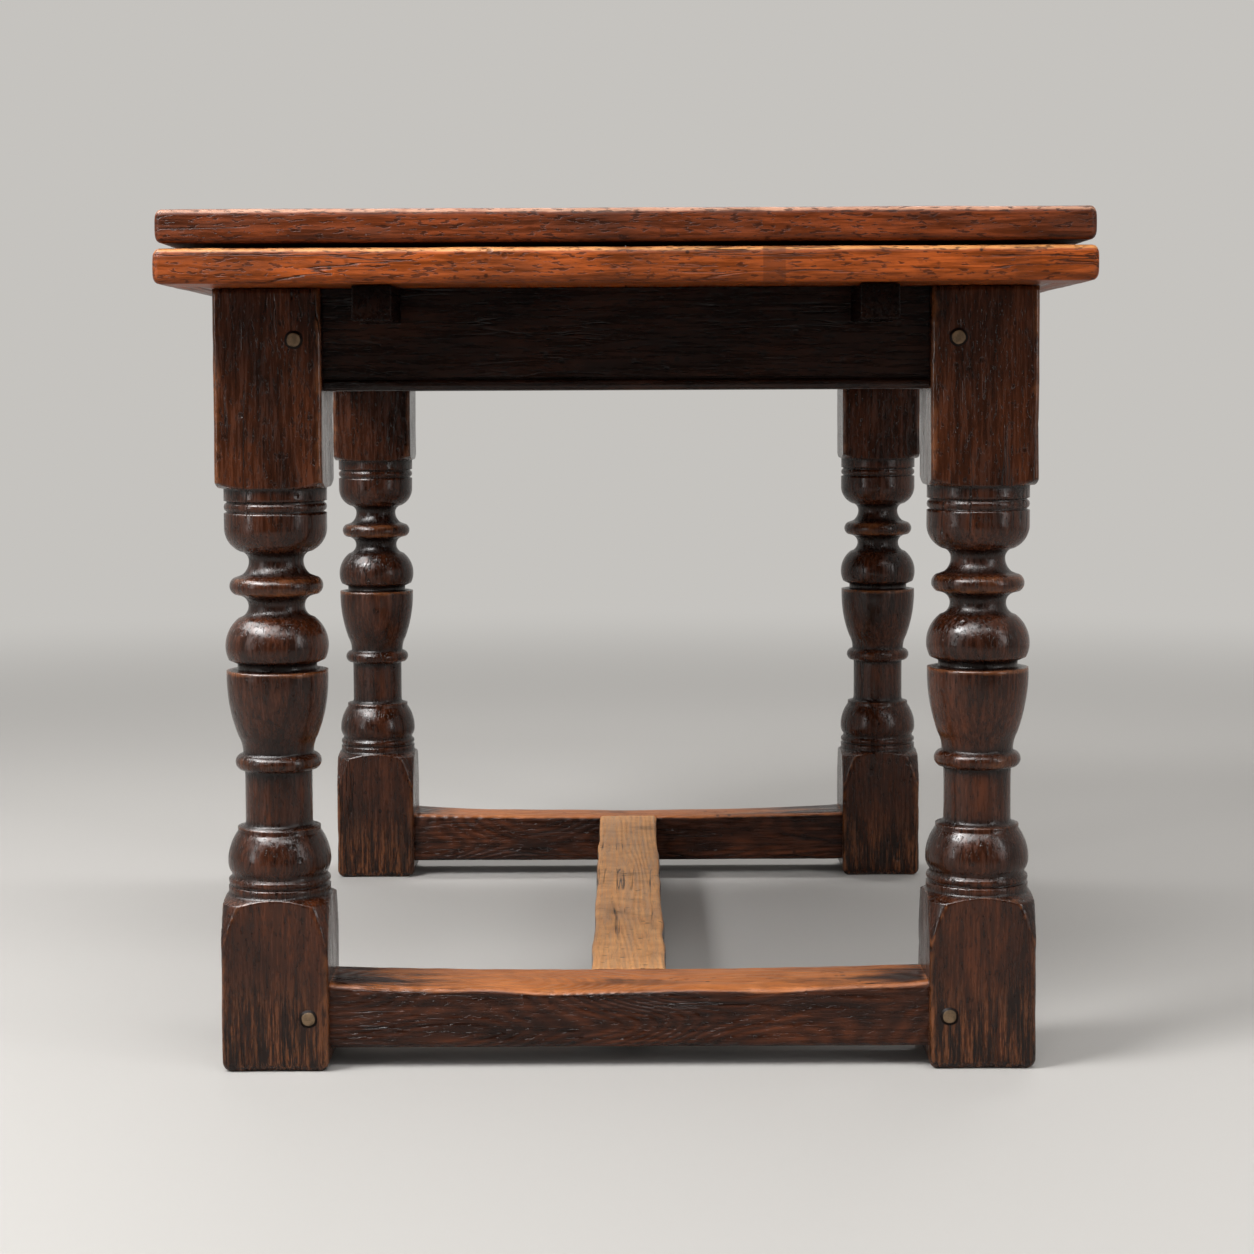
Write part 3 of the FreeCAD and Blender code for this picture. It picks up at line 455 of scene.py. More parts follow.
def turned_leg(node, seed):
    """Leg as a surface round its axis, closed at both ends: at each angle and level the lesser of the square
    block's radius and the turned radius, pushed in by unevenness, rubbed arrises and chips."""
    size = sizes()
    low, high = corners(node)
    centre = (low + high) / 2
    half = (high[0] - low[0]) / 2
    levels, radii = turning(high[2] / MM)
    upper = np.arange(high[2] / MM, levels[0], -4.5)
    foot = np.append(np.arange(levels[-1] - 4.0, 11.0, -4.0), FOOT_RINGS)
    level = np.concatenate([upper, levels, foot]) * MM
    turned = np.pad(radii, (len(upper), len(foot)), constant_values=UNCUT)[:, None] * MM
    quarter = np.concatenate([np.linspace(0, 41, 15), CORNER_ANGLES, np.linspace(49, 90, 15)[:-1]])
    angle = np.radians(np.concatenate([quarter + 90 * turn for turn in range(4)]))
    square = block_section(half, angle)

    gap = square - turned
    radius = turned + (gap - np.sqrt(gap ** 2 + SHOULDER_BLEND ** 2)) / 2
    below = np.clip(size.foot_ease - level[:, None], 0, None)
    foot_inset = size.foot_ease - np.sqrt(np.clip(size.foot_ease ** 2 - below ** 2, 0, None))
    radius = radius - np.minimum(foot_inset, FOOT_INSET)

    relief = turned_relief(levels, radii, level / MM)[:, None]
    in_block = limit(gap / (-2 * MM))
    # Arrises, crests and shoulders take the wear mark, which paints them paler as wear and as a highlight
    arris = limit((square / half - 1) / (math.sqrt(2) - 1) - 0.02) ** 5 * in_block
    crest = limit(relief / 3.0) * (1 - in_block)
    # Grooves take the recess mark, which darkens them as dirt and painted shade
    recess = limit(-relief / 2.0) * (1 - in_block)
    shoulder = 0.8 * np.exp(-np.abs(gap) / SHOULDER_REACH) * (arris < 0.5)
    wear = np.maximum(np.maximum(arris ** 0.7, crest * 0.8), shoulder)

    ring = np.stack([np.cos(angle), np.sin(angle)], axis=-1)
    world = np.empty(radius.shape + (3,))
    world[..., :2] = centre[:2] + radius[..., None] * ring
    world[..., 2] = level[:, None]
    bruise = scattered(world, 0.024, seed + 1, 0.40)
    nick = scattered(world, 0.008, seed + 2, 0.60)
    push = size.hollow * 1.3 * ripple(world, 0.040, seed)
    push = push + size.chip * arris * (0.9 * bruise ** 1.4 + 0.7 * nick * bruise)
    push = push + size.chip * 0.35 * crest * nick * bruise
    world[..., :2] -= push[..., None] * ring

    poles = np.array([[*centre[:2], level[0]], [*centre[:2], level[-1]]])
    shares = np.array([0.3, 0.7])[:, None, None]
    top_cap = (world[0] - poles[0]) * shares + poles[0]
    foot_cap = (world[-1] - poles[1]) * shares[::-1] + poles[1]
    grid = np.concatenate([top_cap, world, foot_cap])
    verts = np.concatenate([grid.reshape(-1, 3), poles])
    pad = np.zeros((2, len(angle)))
    marks = {word: np.append(np.concatenate([pad, values, pad]), [0, 0])
             for word, values in (("wear", wear), ("recess", recess))}
    marks["tread"] = np.zeros(len(verts))
    marks["board"] = np.full(len(verts), np.random.default_rng(seed).random())
    return verts, skin(len(grid), len(angle)), marks


def peg_heads(places, seed):
    """Pegs as rings carried along their axes: a straight shank, a collar in the gap round the hole painted
    dark as dirt and shade, a bruised rim and a slightly domed end.

    places holds (point on the leg's face, outward direction). A ring's radius is the peg's, less a little
    that changes round it, because the pegs are cut by hand.
    """
    around = 20
    radius = sizes().peg_radius
    proud = sizes().peg_proud
    share = np.array([1, 1, 1.36, 1.34, 1.0, 1.0, 0.96, 0.80, 0.45])[:, None]
    sunk = -1.2 * MM
    flush = -0.05 * MM
    lift = np.array([-PEG_DEPTH, sunk, sunk, flush, flush, proud * 0.55, proud * 0.85, proud, proud])[:, None]
    # Dark collar in the gap round each peg: dirt and painted shade
    dirt = np.array([1, 1, 1, 1, 1, 0.5, 0, 0, 0])
    angle = np.arange(around) / around * 2 * math.pi
    rng = np.random.default_rng(seed)
    side = np.array([0.0, 0.0, 1.0])
    verts, faces = [], []
    first = 0
    for point, outward in places:
        outward = np.asarray(outward, dtype=float)
        other = np.cross(outward, side)
        wobble = 1 - 0.05 * np.abs(np.sin(angle * 2 + rng.random() * 6)) - 0.03 * rng.random(around)
        spread = share * wobble * radius
        ring = np.cos(angle)[:, None] * other + np.sin(angle)[:, None] * side
        tilt = (rng.random() - 0.5) * 0.06 * np.cos(angle) * share * radius
        height = lift + np.where(lift > 0, tilt, 0)
        grid = np.asarray(point) + ring * spread[..., None] + outward * height[..., None]
        poles = np.asarray(point) + outward * np.array([[-PEG_DEPTH], [proud]])
        verts.append(np.concatenate([grid.reshape(-1, 3), poles]))
        faces.append(skin(len(share), around, first))
        first += len(verts[-1])
    recess = np.tile(np.append(np.repeat(dirt, around), [1, 0]), len(places))
    return np.concatenate(verts), np.concatenate(faces), {"recess": recess}


# Finishes

def wire(tree, kind, inputs=None, **settings):
    """New shader node of a kind, with its settings, values and links."""
    node = tree.nodes.new("ShaderNode" + kind)
    node.location = (len(tree.nodes) % 12 * 190, -(len(tree.nodes) // 12) * 260)
    for word, value in settings.items():
        setattr(node, word, value)
    for socket, value in (inputs or {}).items():
        if isinstance(value, bpy.types.NodeSocket):
            tree.links.new(value, node.inputs[socket])
        else:
            node.inputs[socket].default_value = value
    return node


def maths(tree, operation, first, second=0.0, clamp=False):
    """Output of a math node."""
    node = wire(tree, "Math", {0: first, 1: second}, operation=operation, use_clamp=clamp)
    return node.outputs[0]


def weighted(tree, value, weight):
    """A value times a weight."""
    return maths(tree, "MULTIPLY", value, weight)


def remap(tree, value, start, finish, low=0.0, high=1.0):
    """Output of a smooth, clamped map range."""
    inputs = {"Value": value, "From Min": start, "From Max": finish, "To Min": low, "To Max": high}
    return wire(tree, "MapRange", inputs, interpolation_type="SMOOTHSTEP").outputs["Result"]


def scaled(colour, share):
    """A plain colour made darker or lighter."""
    return [value * share for value in colour]


def tint(tree, factor, first, second, mode="MIX"):
    """Output of a mix of two colours, each plain or another node's."""
    mixed = {0: factor}
    for place, value in ((6, first), (7, second)):
        mixed[place] = value if isinstance(value, bpy.types.NodeSocket) else (*value, 1.0)
    return wire(tree, "Mix", mixed, data_type="RGBA", blend_type=mode).outputs[2]


def shaded(tree, colour, value):
    """A colour times a value."""
    grey = wire(tree, "CombineColor", {0: value, 1: value, 2: value}).outputs[0]
    return tint(tree, 1.0, colour, grey, "MULTIPLY")


def noise(tree, vector, scale, detail=2.0, rough=0.5):
    """Value of a noise texture."""
    inputs = {"Vector": vector, "Scale": scale, "Detail": detail, "Roughness": rough}
    return wire(tree, "TexNoise", inputs).outputs["Fac"]


def contour_line(tree, vector, scale, width):
    """Thin lines where a noise crosses its middle value."""
    away = maths(tree, "ABSOLUTE", maths(tree, "SUBTRACT", noise(tree, vector, scale, 4.0, 0.6), 0.5))
    return remap(tree, away, 0.0, width, 1.0, 0.0)


def new_group(name, **inputs):
    """Empty shader node group, followed by the sockets that bring in its inputs."""
    group = bpy.data.node_groups.new(name, "ShaderNodeTree")
    for word, kind in inputs.items():
        group.interface.new_socket(word, in_out="INPUT", socket_type="NodeSocket" + kind)
    return group, *group.nodes.new("NodeGroupInput").outputs[:len(inputs)]


def put_out(group, **values):
    """The group, with its outputs, which are all plain values."""
    end = group.nodes.new("NodeGroupOutput")
    for word, value in values.items():
        group.interface.new_socket(word, in_out="OUTPUT", socket_type="NodeSocketFloat")
        group.links.new(value, end.inputs[word])
    return group


def oak_figure():
    """Group: the figure of oak in vectors shortened along the grain."""
    group, vector, short = new_group("Oak figure", Vector="Vector", Short="Vector")
    tone = noise(group, short, 30.0, 5.0, 0.65)
    slow = noise(group, vector, 11.0, 2.0, 0.45)
    contour = maths(group, "PINGPONG", weighted(group, slow, 13.0), 0.5)
    flow = noise(group, short, 8.0, 2.0, 0.4)
    ridge = maths(group, "PINGPONG", weighted(group, flow, 58.0), 0.5)
    fibre = noise(group, vector, 260.0, 4.0, 0.75)
    pores = noise(group, short, 430.0, 2.0, 0.5)
    return put_out(
        group, Tone=remap(group, tone, 0.28, 0.72), Rings=remap(group, contour, 0.0, 0.22, 1.0, 0.0),
        Ridges=remap(group, ridge, 0.0, 0.5), Fibre=remap(group, fibre, 0.32, 0.68),
        Pores=remap(group, pores, 0.57, 0.64))


def rubbed_and_highlit_edges():
    """Group: where hands and feet have rubbed the finish off, with a painted highlight along the arrises,
    from the wear mark broken up by noise.
    """
    group, vector, wear = new_group("Rubbed edges", Vector="Vector", Wear="Float")
    patchy = maths(group, "SUBTRACT", noise(group, vector, 38.0, 4.0, 0.6), 0.55)
    mixed = maths(group, "ADD", wear, weighted(group, patchy, 1.1))
    return put_out(group, Mask=remap(group, mixed, 0.35, 0.95))


def dirt_and_recess_shade():
    """Group: dark wax and dirt in slow cloudy patches, and in the recesses dirt with painted shade."""
    group, vector, recess = new_group("Old dirt", Vector="Vector", Recess="Float")
    patches = remap(group, noise(group, vector, 14.0, 5.0, 0.65), 0.52, 0.74, 0.0, 0.55)
    return put_out(group, Mask=maths(group, "MAXIMUM", patches, recess, clamp=True))


def bruises():
    """Group: lumps left by hand tools, small dents and long drying cracks; only the cracks follow the grain.

    Foot, from 0 to 1, adds the close cracks of wood that has stood on damp floors.
    """
    group, vector, stretched, foot = new_group("Bruises", Vector="Vector", Stretched="Vector", Foot="Float")
    cells = wire(group, "TexVoronoi", {"Vector": vector, "Scale": 75.0})
    pit = remap(group, cells.outputs["Distance"], 0.10, 0.26, 1.0, 0.0)
    rare = remap(group, noise(group, vector, 21.0), 0.52, 0.62)
    some = remap(group, noise(group, vector, 7.0), 0.48, 0.60)
    cracks = weighted(group, contour_line(group, stretched, 30.0, 0.012), some)
    close = weighted(group, contour_line(group, stretched, 80.0, 0.075), foot)
    return put_out(group, Lumps=noise(group, vector, 50.0), Dents=weighted(group, pit, rare),
                   Cracks=maths(group, "MAXIMUM", cracks, close))


def place_group(tree, name, build, inputs):
    """Outputs of a group placed in a material. The group is built the first time."""
    group = bpy.data.node_groups.get(name) or build()
    return wire(tree, "Group", inputs, node_tree=group).outputs


def mark(tree, word):
    """A piece's own point attribute."""
    return wire(tree, "Attribute", attribute_name=word, attribute_type="GEOMETRY").outputs["Fac"]


def new_material(name):
    """Empty material and its nodes."""
    material = bpy.data.materials.new(name)
    material.use_nodes = True
    material.node_tree.nodes.clear()
    return material, material.node_tree


def waxed(tree, colour, gloss, height, bumps, sheen):
    """The material's surface, from its colour, roughness, height and the strengths of bumps and sheen."""
    bump = wire(tree, "Bump", {"Height": height, "Strength": bumps, "Distance": BUMP_DEPTH})
    shader = wire(tree, "BsdfPrincipled", {
        "Base Color": colour, "Roughness": gloss, "Normal": bump.outputs[0], "Specular IOR Level": sheen})
    wire(tree, "OutputMaterial", {"Surface": shader.outputs[0]})


def oak(name, grain, dark, light, worn, tread=None, rough=0.28, dirt=0.85, rings=0.5, pores=0.75,
        sheen=0.25, ridges=0.0, inlays=(), nails=()):
    """Old waxed oak: figure along the grain, rubbed edges with painted highlights, dirt and painted shade in
    the recesses, dents and cracks.

    tread is the colour of wood bared by feet, and ridges how far the growth rings stand out. An inlay is a
    patch let in across a board, as (middle, half width, darkness) along X, and a nail is a point.
    """
    if name in bpy.data.materials:
        return bpy.data.materials[name]
    material, tree = new_material(name)
    space = wire(tree, "TexCoord").outputs["Object"]
    board = mark(tree, "board")
    steps = {place: weighted(tree, board, step) for place, step in enumerate((13.1, 7.7, 5.3))}
    shift = wire(tree, "CombineXYZ", steps).outputs[0]
    vector = wire(tree, "VectorMath", {0: space, 1: shift}, operation="ADD").outputs[0]
    along = np.eye(3)["XYZ".index(grain)]
    scales = [1 - along * (1 - times / STRETCH[grain]) for times in (1, 4)]
    long_vector, short_vector = (
        wire(tree, "Mapping", {"Vector": vector, "Scale": scale}).outputs[0] for scale in scales)
    figure = place_group(tree, "Oak figure", oak_figure, {"Vector": long_vector, "Short": short_vector})
    rubbed = place_group(tree, "Rubbed edges", rubbed_and_highlit_edges, {"Vector": vector, "Wear": mark(tree, "wear")})
    dirt_and_shade = place_group(tree, "Old dirt", dirt_and_recess_shade, {"Vector": vector, "Recess": mark(tree, "recess")})
    plan = wire(tree, "SeparateXYZ", {0: space}).outputs
    foot = remap(tree, plan[2], 0.015, 0.10, 1.0, 0.0) if grain == "Z" else 0.0
    bruised = place_group(tree, "Bruises", bruises,
                          {"Vector": vector, "Stretched": long_vector, "Foot": foot})

    colour = tint(tree, figure["Tone"], dark, light)
    colour = shaded(tree, colour, maths(tree, "ADD", weighted(tree, board, 0.4), 0.8))
    colour = tint(tree, weighted(tree, figure["Rings"], rings), colour, dark)
    colour = shaded(tree, colour, remap(tree, figure["Fibre"], 0.0, 1.0, 0.6, 1.4))
    if ridges:
        colour = shaded(tree, colour, remap(tree, figure["Ridges"], 0.0, 1.0, 1 - ridges / 4, 1.1))
    if grain == "Z":
        scuffs = weighted(tree, foot, remap(tree, figure["Fibre"], 0.3, 0.8, 0.0, 0.5))
        colour = tint(tree, scuffs, colour, worn)
    # Worn colour over the rubbed edges: wear, and a painted highlight along the arrises
    colour = tint(tree, weighted(tree, rubbed["Mask"], 0.8), colour, worn)
    if tread is not None:
        streaks = weighted(tree, maths(tree, "SUBTRACT", figure["Tone"], 0.5), 0.7)
        bare = maths(tree, "ADD", mark(tree, "tread"), streaks)
        stain = [value * share for value, share in zip(tread, (0.75, 0.6, 0.45))]
        stained = tint(tree, bruised["Lumps"], stain, scaled(tread, 1.25))
        stained = shaded(tree, stained, remap(tree, figure["Fibre"], 0.0, 1.0, 0.85, 1.15))
        colour = tint(tree, remap(tree, bare, 0.25, 0.85, 0.0, 0.92), colour, stained)
    shadow = scaled(dark, 0.3)
    # Darker towards the shadow colour: pores, dirt with painted shade in the recesses, dents and cracks
    for mask, share in ((figure["Pores"], pores), (dirt_and_shade["Mask"], dirt), (bruised["Dents"], 0.6),
                        (bruised["Cracks"], 0.85)):
        colour = tint(tree, weighted(tree, mask, share), colour, shadow)
    for middle, half, darkness in inlays:
        off = maths(tree, "ABSOLUTE", maths(tree, "SUBTRACT", plan[0], middle))
        inside = remap(tree, off, half - 0.6 * MM, half + 0.6 * MM, 1.0, 0.0)
        colour = tint(tree, weighted(tree, inside, darkness), colour, scaled(dark, 0.8))
    for spot in nails:
        away = wire(tree, "VectorMath", {0: space, 1: spot}, operation="DISTANCE").outputs["Value"]
        hole = remap(tree, away, NAIL_RADIUS * 0.6, NAIL_RADIUS * 1.4, 1.0, 0.0)
        colour = tint(tree, hole, colour, shadow)

    height = 0.0
    for value, share in ((figure["Fibre"], 0.10), (bruised["Lumps"], 1.0), (figure["Ridges"], ridges),
                         (figure["Pores"], -0.45), (bruised["Dents"], -1.1), (bruised["Cracks"], -3.0)):
        height = maths(tree, "ADD", height, weighted(tree, value, share))
    gloss = remap(tree, figure["Fibre"], 0.0, 1.0, rough - 0.08, rough + 0.12)
    gloss = maths(tree, "ADD", gloss, weighted(tree, dirt_and_shade["Mask"], 0.12))
    if tread is not None:
        gloss = maths(tree, "ADD", gloss, weighted(tree, mark(tree, "tread"), 0.22))
    waxed(tree, colour, gloss, height, 1.0, sheen)
    return material


def end_grain(name, colour):
    """Pale end grain of a peg: fine pores over slow light and dark patches, painted dark in the gap round it
    as dirt and shade.
    """
    material, tree = new_material(name)
    space = wire(tree, "TexCoord").outputs["Object"]
    fine = noise(tree, space, 900.0, 3.0, 0.6)
    slow = noise(tree, space, 140.0, 3.0, 0.5)
    shade = tint(tree, remap(tree, slow, 0.35, 0.7), scaled(colour, 0.55), colour)
    shade = tint(tree, remap(tree, fine, 0.56, 0.70, 0.0, 0.7), shade, scaled(colour, 0.3))
    # The gap round the peg painted near black: dirt and painted shade
    shade = tint(tree, mark(tree, "recess"), shade, scaled(colours().frame_dark, 0.4))
    waxed(tree, shade, remap(tree, slow, 0.2, 0.8, 0.42, 0.60), fine, 0.4, 0.12)
    return material


def tones(part, *shares):
    """Dark, light and worn colours of a part of the table, each times a share. The worn colour also paints
    highlights.
    """
    words = (f"{part}_dark", f"{part}_light", f"{part}_worn")
    return [scaled(getattr(colours(), word), share) for word, share in zip(words, shares)]


def frame_oak(grain):
    """Dark oak of the legs and the stop pegs."""
    return oak("Frame oak " + grain, grain, *tones("frame", 1, 1, 1), rough=0.20, rings=0.3, pores=0.5,
               sheen=0.3)


def apron_oak_painted_shade(grain):
    """Oak of the aprons and rails, its colours darkened to paint the shade under the overhang."""
    return oak("Apron oak " + grain, grain, *tones("frame", 0.4, 0.4, 0.4), sheen=0.2)


def loper_oak_painted_shade():
    """Oak of the lopers, darkened nearly to black to paint the shade under the leaves."""
    return oak("Loper oak", "Y", *tones("frame", 0.2, 0.15, 0.1), sheen=0.08)


def stretcher_oak(grain):
    """Dark oak of the stretchers, bared on top by feet, with a paler worn colour that paints a glint on the
    rubbed arrises.
    """
    bared = colours().tread if grain == "X" else colours().tread_centre
    # The worn share of 1.8 paints a pale glint along the stretchers' rubbed arrises
    return oak("Stretcher oak " + grain, grain, *tones("frame", 1.1, 1.2, 1.8), tread=bared, rings=0.35,
               pores=0.15, ridges=1.5)


def top_oak(grain):
    """Red-brown oak of the loose top."""
    return oak("Top oak " + grain, grain, *tones("top", 1, 1, 1), rough=0.38, dirt=0.5, sheen=0.15,
               pores=PANEL_PORES[grain])


def leaf_oak(grain, name=None, **more):
    """Orange-brown oak of the leaves, plain or with inlays and nails."""
    return oak(name or "Leaf oak " + grain, grain, *tones("leaf", 1, 1, 1), rough=0.38, dirt=0.45,
               sheen=0.15, pores=PANEL_PORES[grain], **more)


def rays_that_see(tree):
    """1 for rays that show the background: from the camera, from a gloss or through glass."""
    path = wire(tree, "LightPath").outputs
    mirrored = maths(tree, "MAXIMUM", path["Is Glossy Ray"], path["Is Transmission Ray"])
    return maths(tree, "MAXIMUM", path["Is Camera Ray"], mirrored)


def backdrop(tree, kind, direction):
    """Light of the pale ground by direction: full behind the table, dim on the near side."""
    along = wire(tree, "SeparateXYZ", {0: direction}).outputs[1]
    strength = remap(tree, along, -0.9, 0.0, bpy.context.scene.table_stage.room, 1.0)
    return wire(tree, kind, {"Color": (*colours().background, 1), "Strength": strength}).outputs[0]


def give_finish(nodes, material):
    """A finish for CAD nodes that stay as they are."""
    for name in nodes:
        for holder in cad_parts[name].material_slots:
            holder.material = material


def boards(nodes, body, grain, ease, end_ease, material, slot, seed, stride=11, **more):
    """One worn board for each of some like nodes."""
    for number, node in enumerate(nodes):
        shape = worn_board(*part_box(node), grain, ease, end_ease, seed + stride * number, **more)
        make_piece(node, shape, material, body)


def planks(body, cleats, material, seed):
    """A panel's four planks, drawn from the inner face of one cleat to the inner face of the other."""
    size = sizes()
    near, far = sorted((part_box(node) for node in cleats), key=lambda box: box[0][1])
    for number in range(4):
        node = f"{body}_plank_{number + 1}"
        low, high = corners(node)
        low[1], high[1] = near[1][1], far[0][1]
        shape = worn_board(low, high, "Y", size.board_ease, size.joint_ease, seed + 11 * number,
                           panel=panel_box(cleats))
        make_piece(node, shape, material, body)


# Stage

def lay_floor():
    """Wide pale floor that fades into the background far from the table."""
    half = 40.0
    mesh = bpy.data.meshes.new("floor")
    square = [(-half, -half, 0), (half, -half, 0), (half, half, 0), (-half, half, 0)]
    mesh.from_pydata(square, [], [(0, 1, 2, 3)])
    floor = new_object("floor", mesh)
    material, tree = new_material("Pale floor")
    space = wire(tree, "TexCoord").outputs["Object"]
    reach = wire(tree, "VectorMath", {0: space}, operation="LENGTH").outputs["Value"]
    fade = weighted(tree, remap(tree, reach, 1.2, 4.5), rays_that_see(tree))
    near = wire(tree, "BsdfDiffuse", {"Color": (*colours().floor, 1)}).outputs[0]
    outward = wire(tree, "VectorMath", {0: space}, operation="NORMALIZE").outputs["Vector"]
    haze = backdrop(tree, "Emission", outward)
    mix = wire(tree, "MixShader", {0: fade, 1: near, 2: haze})
    wire(tree, "OutputMaterial", {"Surface": mix.outputs[0]})
    mesh.materials.append(material)


def light_room(scene):
    """Even light all round, with the pale ground shown to the rays that see it."""
    scene.world = bpy.data.worlds.new("Studio")
    scene.world.use_nodes = True
    tree = scene.world.node_tree
    tree.nodes.clear()
    sky = scene.table_stage.sky
    even = wire(tree, "Background", {"Color": (1, 0.98, 0.95, 1), "Strength": sky})
    outward = wire(tree, "TexCoord").outputs["Generated"]
    pale = backdrop(tree, "Background", outward)
    mix = wire(tree, "MixShader", {0: rays_that_see(tree), 1: even.outputs[0], 2: pale})
    wire(tree, "OutputWorld", {"Surface": mix.outputs[0]})


def hang_lamps():
    """Area lamps turned towards the table's near end. The gloss lamp shows only in what mirrors it."""
    middle = Vector((0.0, -0.3, 0.5))
    for name, power, spot, size in LAMPS:
        light = bpy.data.lights.new(name, "AREA")
        light.shape = "RECTANGLE"
        light.energy = power
        light.size, light.size_y = size
        lamp = new_object(name, light)
        lamp.location = spot
        lamp.visible_diffuse = name != "gloss"
        lamp.rotation_euler = (middle - Vector(spot)).to_track_quat("-Z", "Y").to_euler()


def place_camera(scene):
    """Camera where the photograph was taken from."""
    stage = scene.table_stage
    camera = bpy.data.cameras.new("photograph")
    camera.lens = stage.camera_lens
    camera.sensor_width = 36.0
    camera.shift_y = stage.camera_shift
    camera.dof.use_dof = False
    scene.camera = new_object("photograph", camera)
    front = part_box("leg_front_left")[0][1]
    place = Matrix.Translation((0, front - stage.camera_distance, stage.camera_height))
    pitch = Matrix.Rotation(math.pi / 2 - stage.camera_pitch, 4, "X")
    scene.camera.matrix_world = place @ pitch @ Matrix.Rotation(stage.camera_roll, 4, "Z")


# Pieces

class TABLE_OT_legs(bpy.types.Operator):
    """Build the four turned legs"""
    bl_idname = "table.legs"
    bl_label = "Legs"

    def execute(self, context):
        for number, node in enumerate(LEGS):
            make_piece(node, turned_leg(node, 40 + 10 * number), frame_oak("Z"), "frame")
        return {"FINISHED"}


class TABLE_OT_frame(bpy.types.Operator):
    """Finish the aprons, the keeper rails and the centre board"""
    bl_idname = "table.frame"
    bl_label = "Aprons and rails"

    def execute(self, context):
        # Aprons and keeper rails: oak darkened to paint the shade under the overhang.
        give_finish(("apron_front", "apron_back", "keeper_rail_front", "keeper_rail_back"), apron_oak_painted_shade("X"))
        give_finish(("apron_left", "apron_right"), apron_oak_painted_shade("Y"))
        give_finish(("centre_board",), leaf_oak("X"))
        return {"FINISHED"}


class TABLE_OT_stretchers(bpy.types.Operator):
    """Build the stretchers, hollowed and bared by feet"""
    bl_idname = "table.stretchers"
    bl_label = "Stretchers"

    def execute(self, context):
        size = sizes()
        clear = min(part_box(node)[0][0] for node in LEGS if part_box(node)[0][0] > 0)
        for number, (node, side) in enumerate((("stretcher_front", -1), ("stretcher_back", 1))):
            low, high = corners(node)
            high[0] = clear + 4 * MM
            low[0] = -high[0]

            def hollow(world, out, marks):
                """Top lowered by a parabola across the table, and its outer arris rubbed in patches."""
                rise = limit((world[..., 2] - low[2]) / (high[2] - low[2]))
                across = limit(1 - (world[..., 0] / clear) ** 2)
                outer = limit((world[..., 1] * side - RUB_START) / RUB_WIDTH) ** 2
                rubbed = size.stretcher_rub * outer * across ** 0.5 * (0.35 + ripple(world, 0.065, 330))
                world[..., 2] -= (size.stretcher_dip * across + rubbed) * rise ** 2
                patchy = 0.5 + ripple(world, 0.12, 331)
                marks["tread"] = limit(limit(out[..., 2]) * (0.15 + 0.95 * across) * patchy)
                return world, marks

            shape = worn_board(low, high, "X", size.stretcher_ease, STRETCHER_END, 300 + 20 * number,
                               step=0.005, chips=1.4, reshape=hollow)
            make_piece(node, shape, stretcher_oak("X"), "frame")

        low, high = corners("stretcher_centre")
        inner = min(-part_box("stretcher_front")[1][1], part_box("stretcher_back")[0][1])
        high[1] = inner + 3 * MM
        low[1] = -high[1]

        def bared(world, out, marks):
            """Sides scalloped by smooth noise, and the top bared."""
            scallop = limit(ripple(world, 0.055, 351) - 0.3) * 6 * MM
            world = world - out * (scallop * limit(1 - out[..., 2] ** 2))[..., None]
            marks["tread"] = limit(out[..., 2] * 1.3)
            return world, marks

        shape = worn_board(low, high, "Y", size.stretcher_ease * 0.8, STRETCHER_END, 350, step=0.006,
                           chips=0.6, reshape=bared)
        make_piece("stretcher_centre", shape, stretcher_oak("Y"), "frame")
        return {"FINISHED"}


class TABLE_OT_top(bpy.types.Operator):
    """Build the loose top's planks and cleats"""
    bl_idname = "table.top"
    bl_label = "Loose top"

    def execute(self, context):
        ease = sizes().board_ease
        cleats = ("top_cleat_front", "top_cleat_back")
        planks("top", cleats, top_oak("Y"), 400)
        boards(cleats, "top", "X", ease, ease, top_oak("X"), "top_oak", 460, step=0.005,
               panel=panel_box(cleats))
        give_finish(("top_cleat_pegs", "top_guide_pegs"), top_oak("Y"))
        return {"FINISHED"}


class TABLE_OT_leaves(bpy.types.Operator):
    """Build the two leaves' planks and cleats and their lopers"""
    bl_idname = "table.leaves"
    bl_label = "Leaves"

    def execute(self, context):
        size = sizes()
        for leaf, sign, seed in (("leaf_front", -1, 500), ("leaf_back", 1, 600)):
            cleats = (f"{leaf}_outer_cleat", f"{leaf}_inner_cleat")
            panel = panel_box(cleats)
            planks(leaf, cleats, leaf_oak("Y"), seed)
            finish = leaf_oak("X")
            if leaf == "leaf_front":
                nails = [(x, panel[0][1], z) for x, z in NAILS]
                finish = leaf_oak("X", "Patched leaf oak", inlays=INLAYS, nails=nails)
            boards(cleats[:1], leaf, "X", size.board_ease, size.board_ease, finish, "leaf_oak", seed + 60,
                   step=0.005, panel=panel)
            boards(cleats[1:], leaf, "X", size.joint_ease, size.board_ease, leaf_oak("X"), "leaf_oak",
                   seed + 70, panel=panel)
            give_finish((f"{leaf}_cleat_pegs", f"{leaf}_loper_pegs"), leaf_oak("Y"))
            give_finish((f"{leaf}_stop_pegs",), frame_oak("Z"))
            inner = min(abs(corner[1]) for corner in panel)

            def planed(world, out, marks):
                """Top of the tail, beyond the leaf, set lower."""
                tail = limit((inner - world[..., 1] * sign) / (2 * MM))
                world[..., 2] -= LOPER_RELIEF * tail * limit(out[..., 2])
                return world, marks

            lopers = (f"{leaf}_loper_left", f"{leaf}_loper_right")
            # Lopers: oak darkened to paint the shade under the leaves.
            boards(lopers, leaf, "Y", size.loper_ease, size.loper_ease, loper_oak_painted_shade(), "frame_oak", seed + 80,
                   stride=5, chips=0.6, reshape=planed)
        return {"FINISHED"}


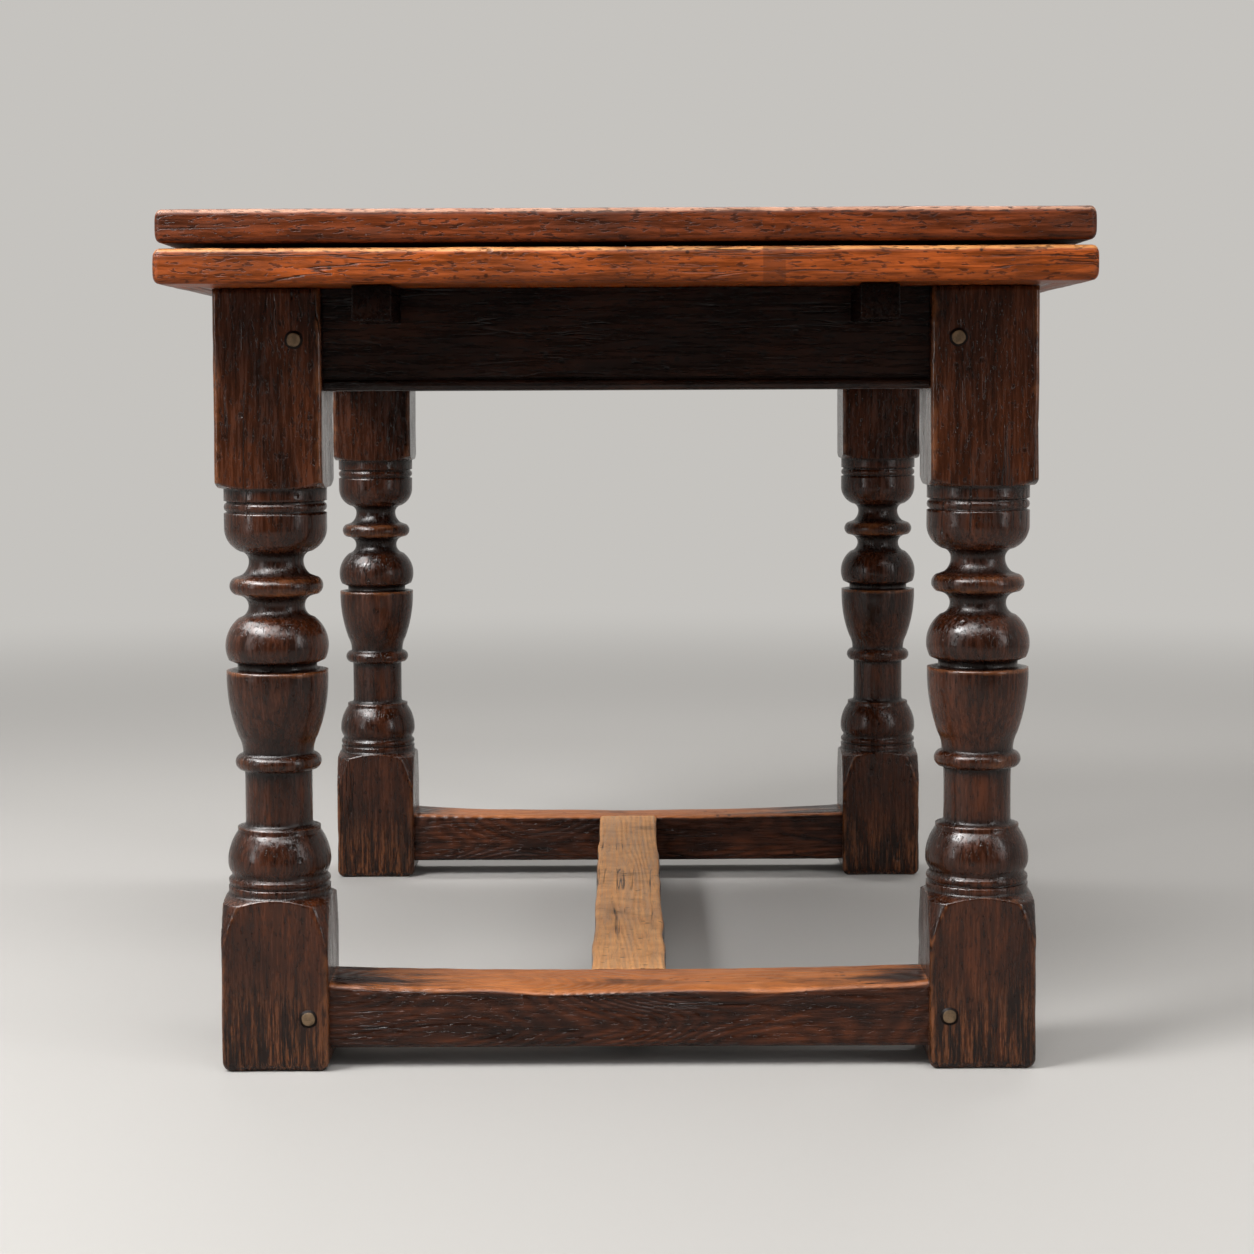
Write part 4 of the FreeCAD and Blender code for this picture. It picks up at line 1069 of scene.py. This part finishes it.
class TABLE_OT_pegs(bpy.types.Operator):
    """Build the pegs through the legs"""
    bl_idname = "table.pegs"
    bl_label = "Pegs"

    def execute(self, context):
        material = end_grain("Peg end grain", colours().peg)
        aprons, stretchers = [], []
        apron_level = sum(corner[2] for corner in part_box("apron_left")) / 2
        stretcher_level = sum(corner[2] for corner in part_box("stretcher_front")) / 2
        for node in LEGS:
            low, high = corners(node)
            side, end = np.sign(low[:2])
            outer = np.where(low > 0, high, low)
            inner = np.where(low > 0, low, high)
            across = inner[0] + APRON_PEG_INSET * side
            along = inner[1] + APRON_PEG_INSET * end
            aprons.append(((across, outer[1], apron_level), (0, end, 0)))
            aprons.append(((outer[0], along, apron_level), (side, 0, 0)))
            across = inner[0] + STRETCHER_PEG_INSET * side
            stretchers.append(((across, outer[1], stretcher_level), (0, end, 0)))
        for node, places, seed in (("apron_pegs", aprons, 71), ("stretcher_pegs", stretchers, 72)):
            make_piece(node, peg_heads(places, seed), material, "frame")
        give_finish(("centre_board_pegs",), leaf_oak("X"))
        return {"FINISHED"}


class TABLE_OT_stage(bpy.types.Operator):
    """Set the floor, the light and the camera"""
    bl_idname = "table.stage"
    bl_label = "Stage"

    def execute(self, context):
        lay_floor()
        light_room(context.scene)
        hang_lamps()
        place_camera(context.scene)
        context.scene.view_settings.view_transform = "Standard"
        return {"FINISHED"}


class TABLE_PT_panel(bpy.types.Panel):
    """Lists the table's pieces in the sidebar"""
    bl_label = "Draw-leaf table"
    bl_space_type = "VIEW_3D"
    bl_region_type = "UI"
    bl_category = "Table"

    def draw(self, context):
        for operator in OPERATORS:
            self.layout.operator(operator.bl_idname)
        for holder in GROUPS:
            group = getattr(context.scene, holder)
            for word in group.__annotations__:
                self.layout.prop(group, word)


OPERATORS = (TABLE_OT_legs, TABLE_OT_frame, TABLE_OT_stretchers, TABLE_OT_top, TABLE_OT_leaves, TABLE_OT_pegs,
             TABLE_OT_stage)
GROUPS = {"table_sizes": TableSizes, "table_colours": TableColours, "table_stage": StageSettings}


def register():
    """Register the classes and hang the settings on the scene."""
    for kind in (*GROUPS.values(), *OPERATORS, TABLE_PT_panel):
        bpy.utils.register_class(kind)
    for word, kind in GROUPS.items():
        setattr(bpy.types.Scene, word, PointerProperty(type=kind))


def unregister():
    """Undo register."""
    for word in GROUPS:
        delattr(bpy.types.Scene, word)
    for kind in (TABLE_PT_panel, *OPERATORS, *GROUPS.values()):
        bpy.utils.unregister_class(kind)


def main():
    """Build the table."""
    register()
    bpy.ops.table.legs()
    bpy.ops.table.frame()
    bpy.ops.table.stretchers()
    bpy.ops.table.top()
    bpy.ops.table.leaves()
    bpy.ops.table.pegs()
    bpy.ops.table.stage()


if __name__ == "__main__":
    main()
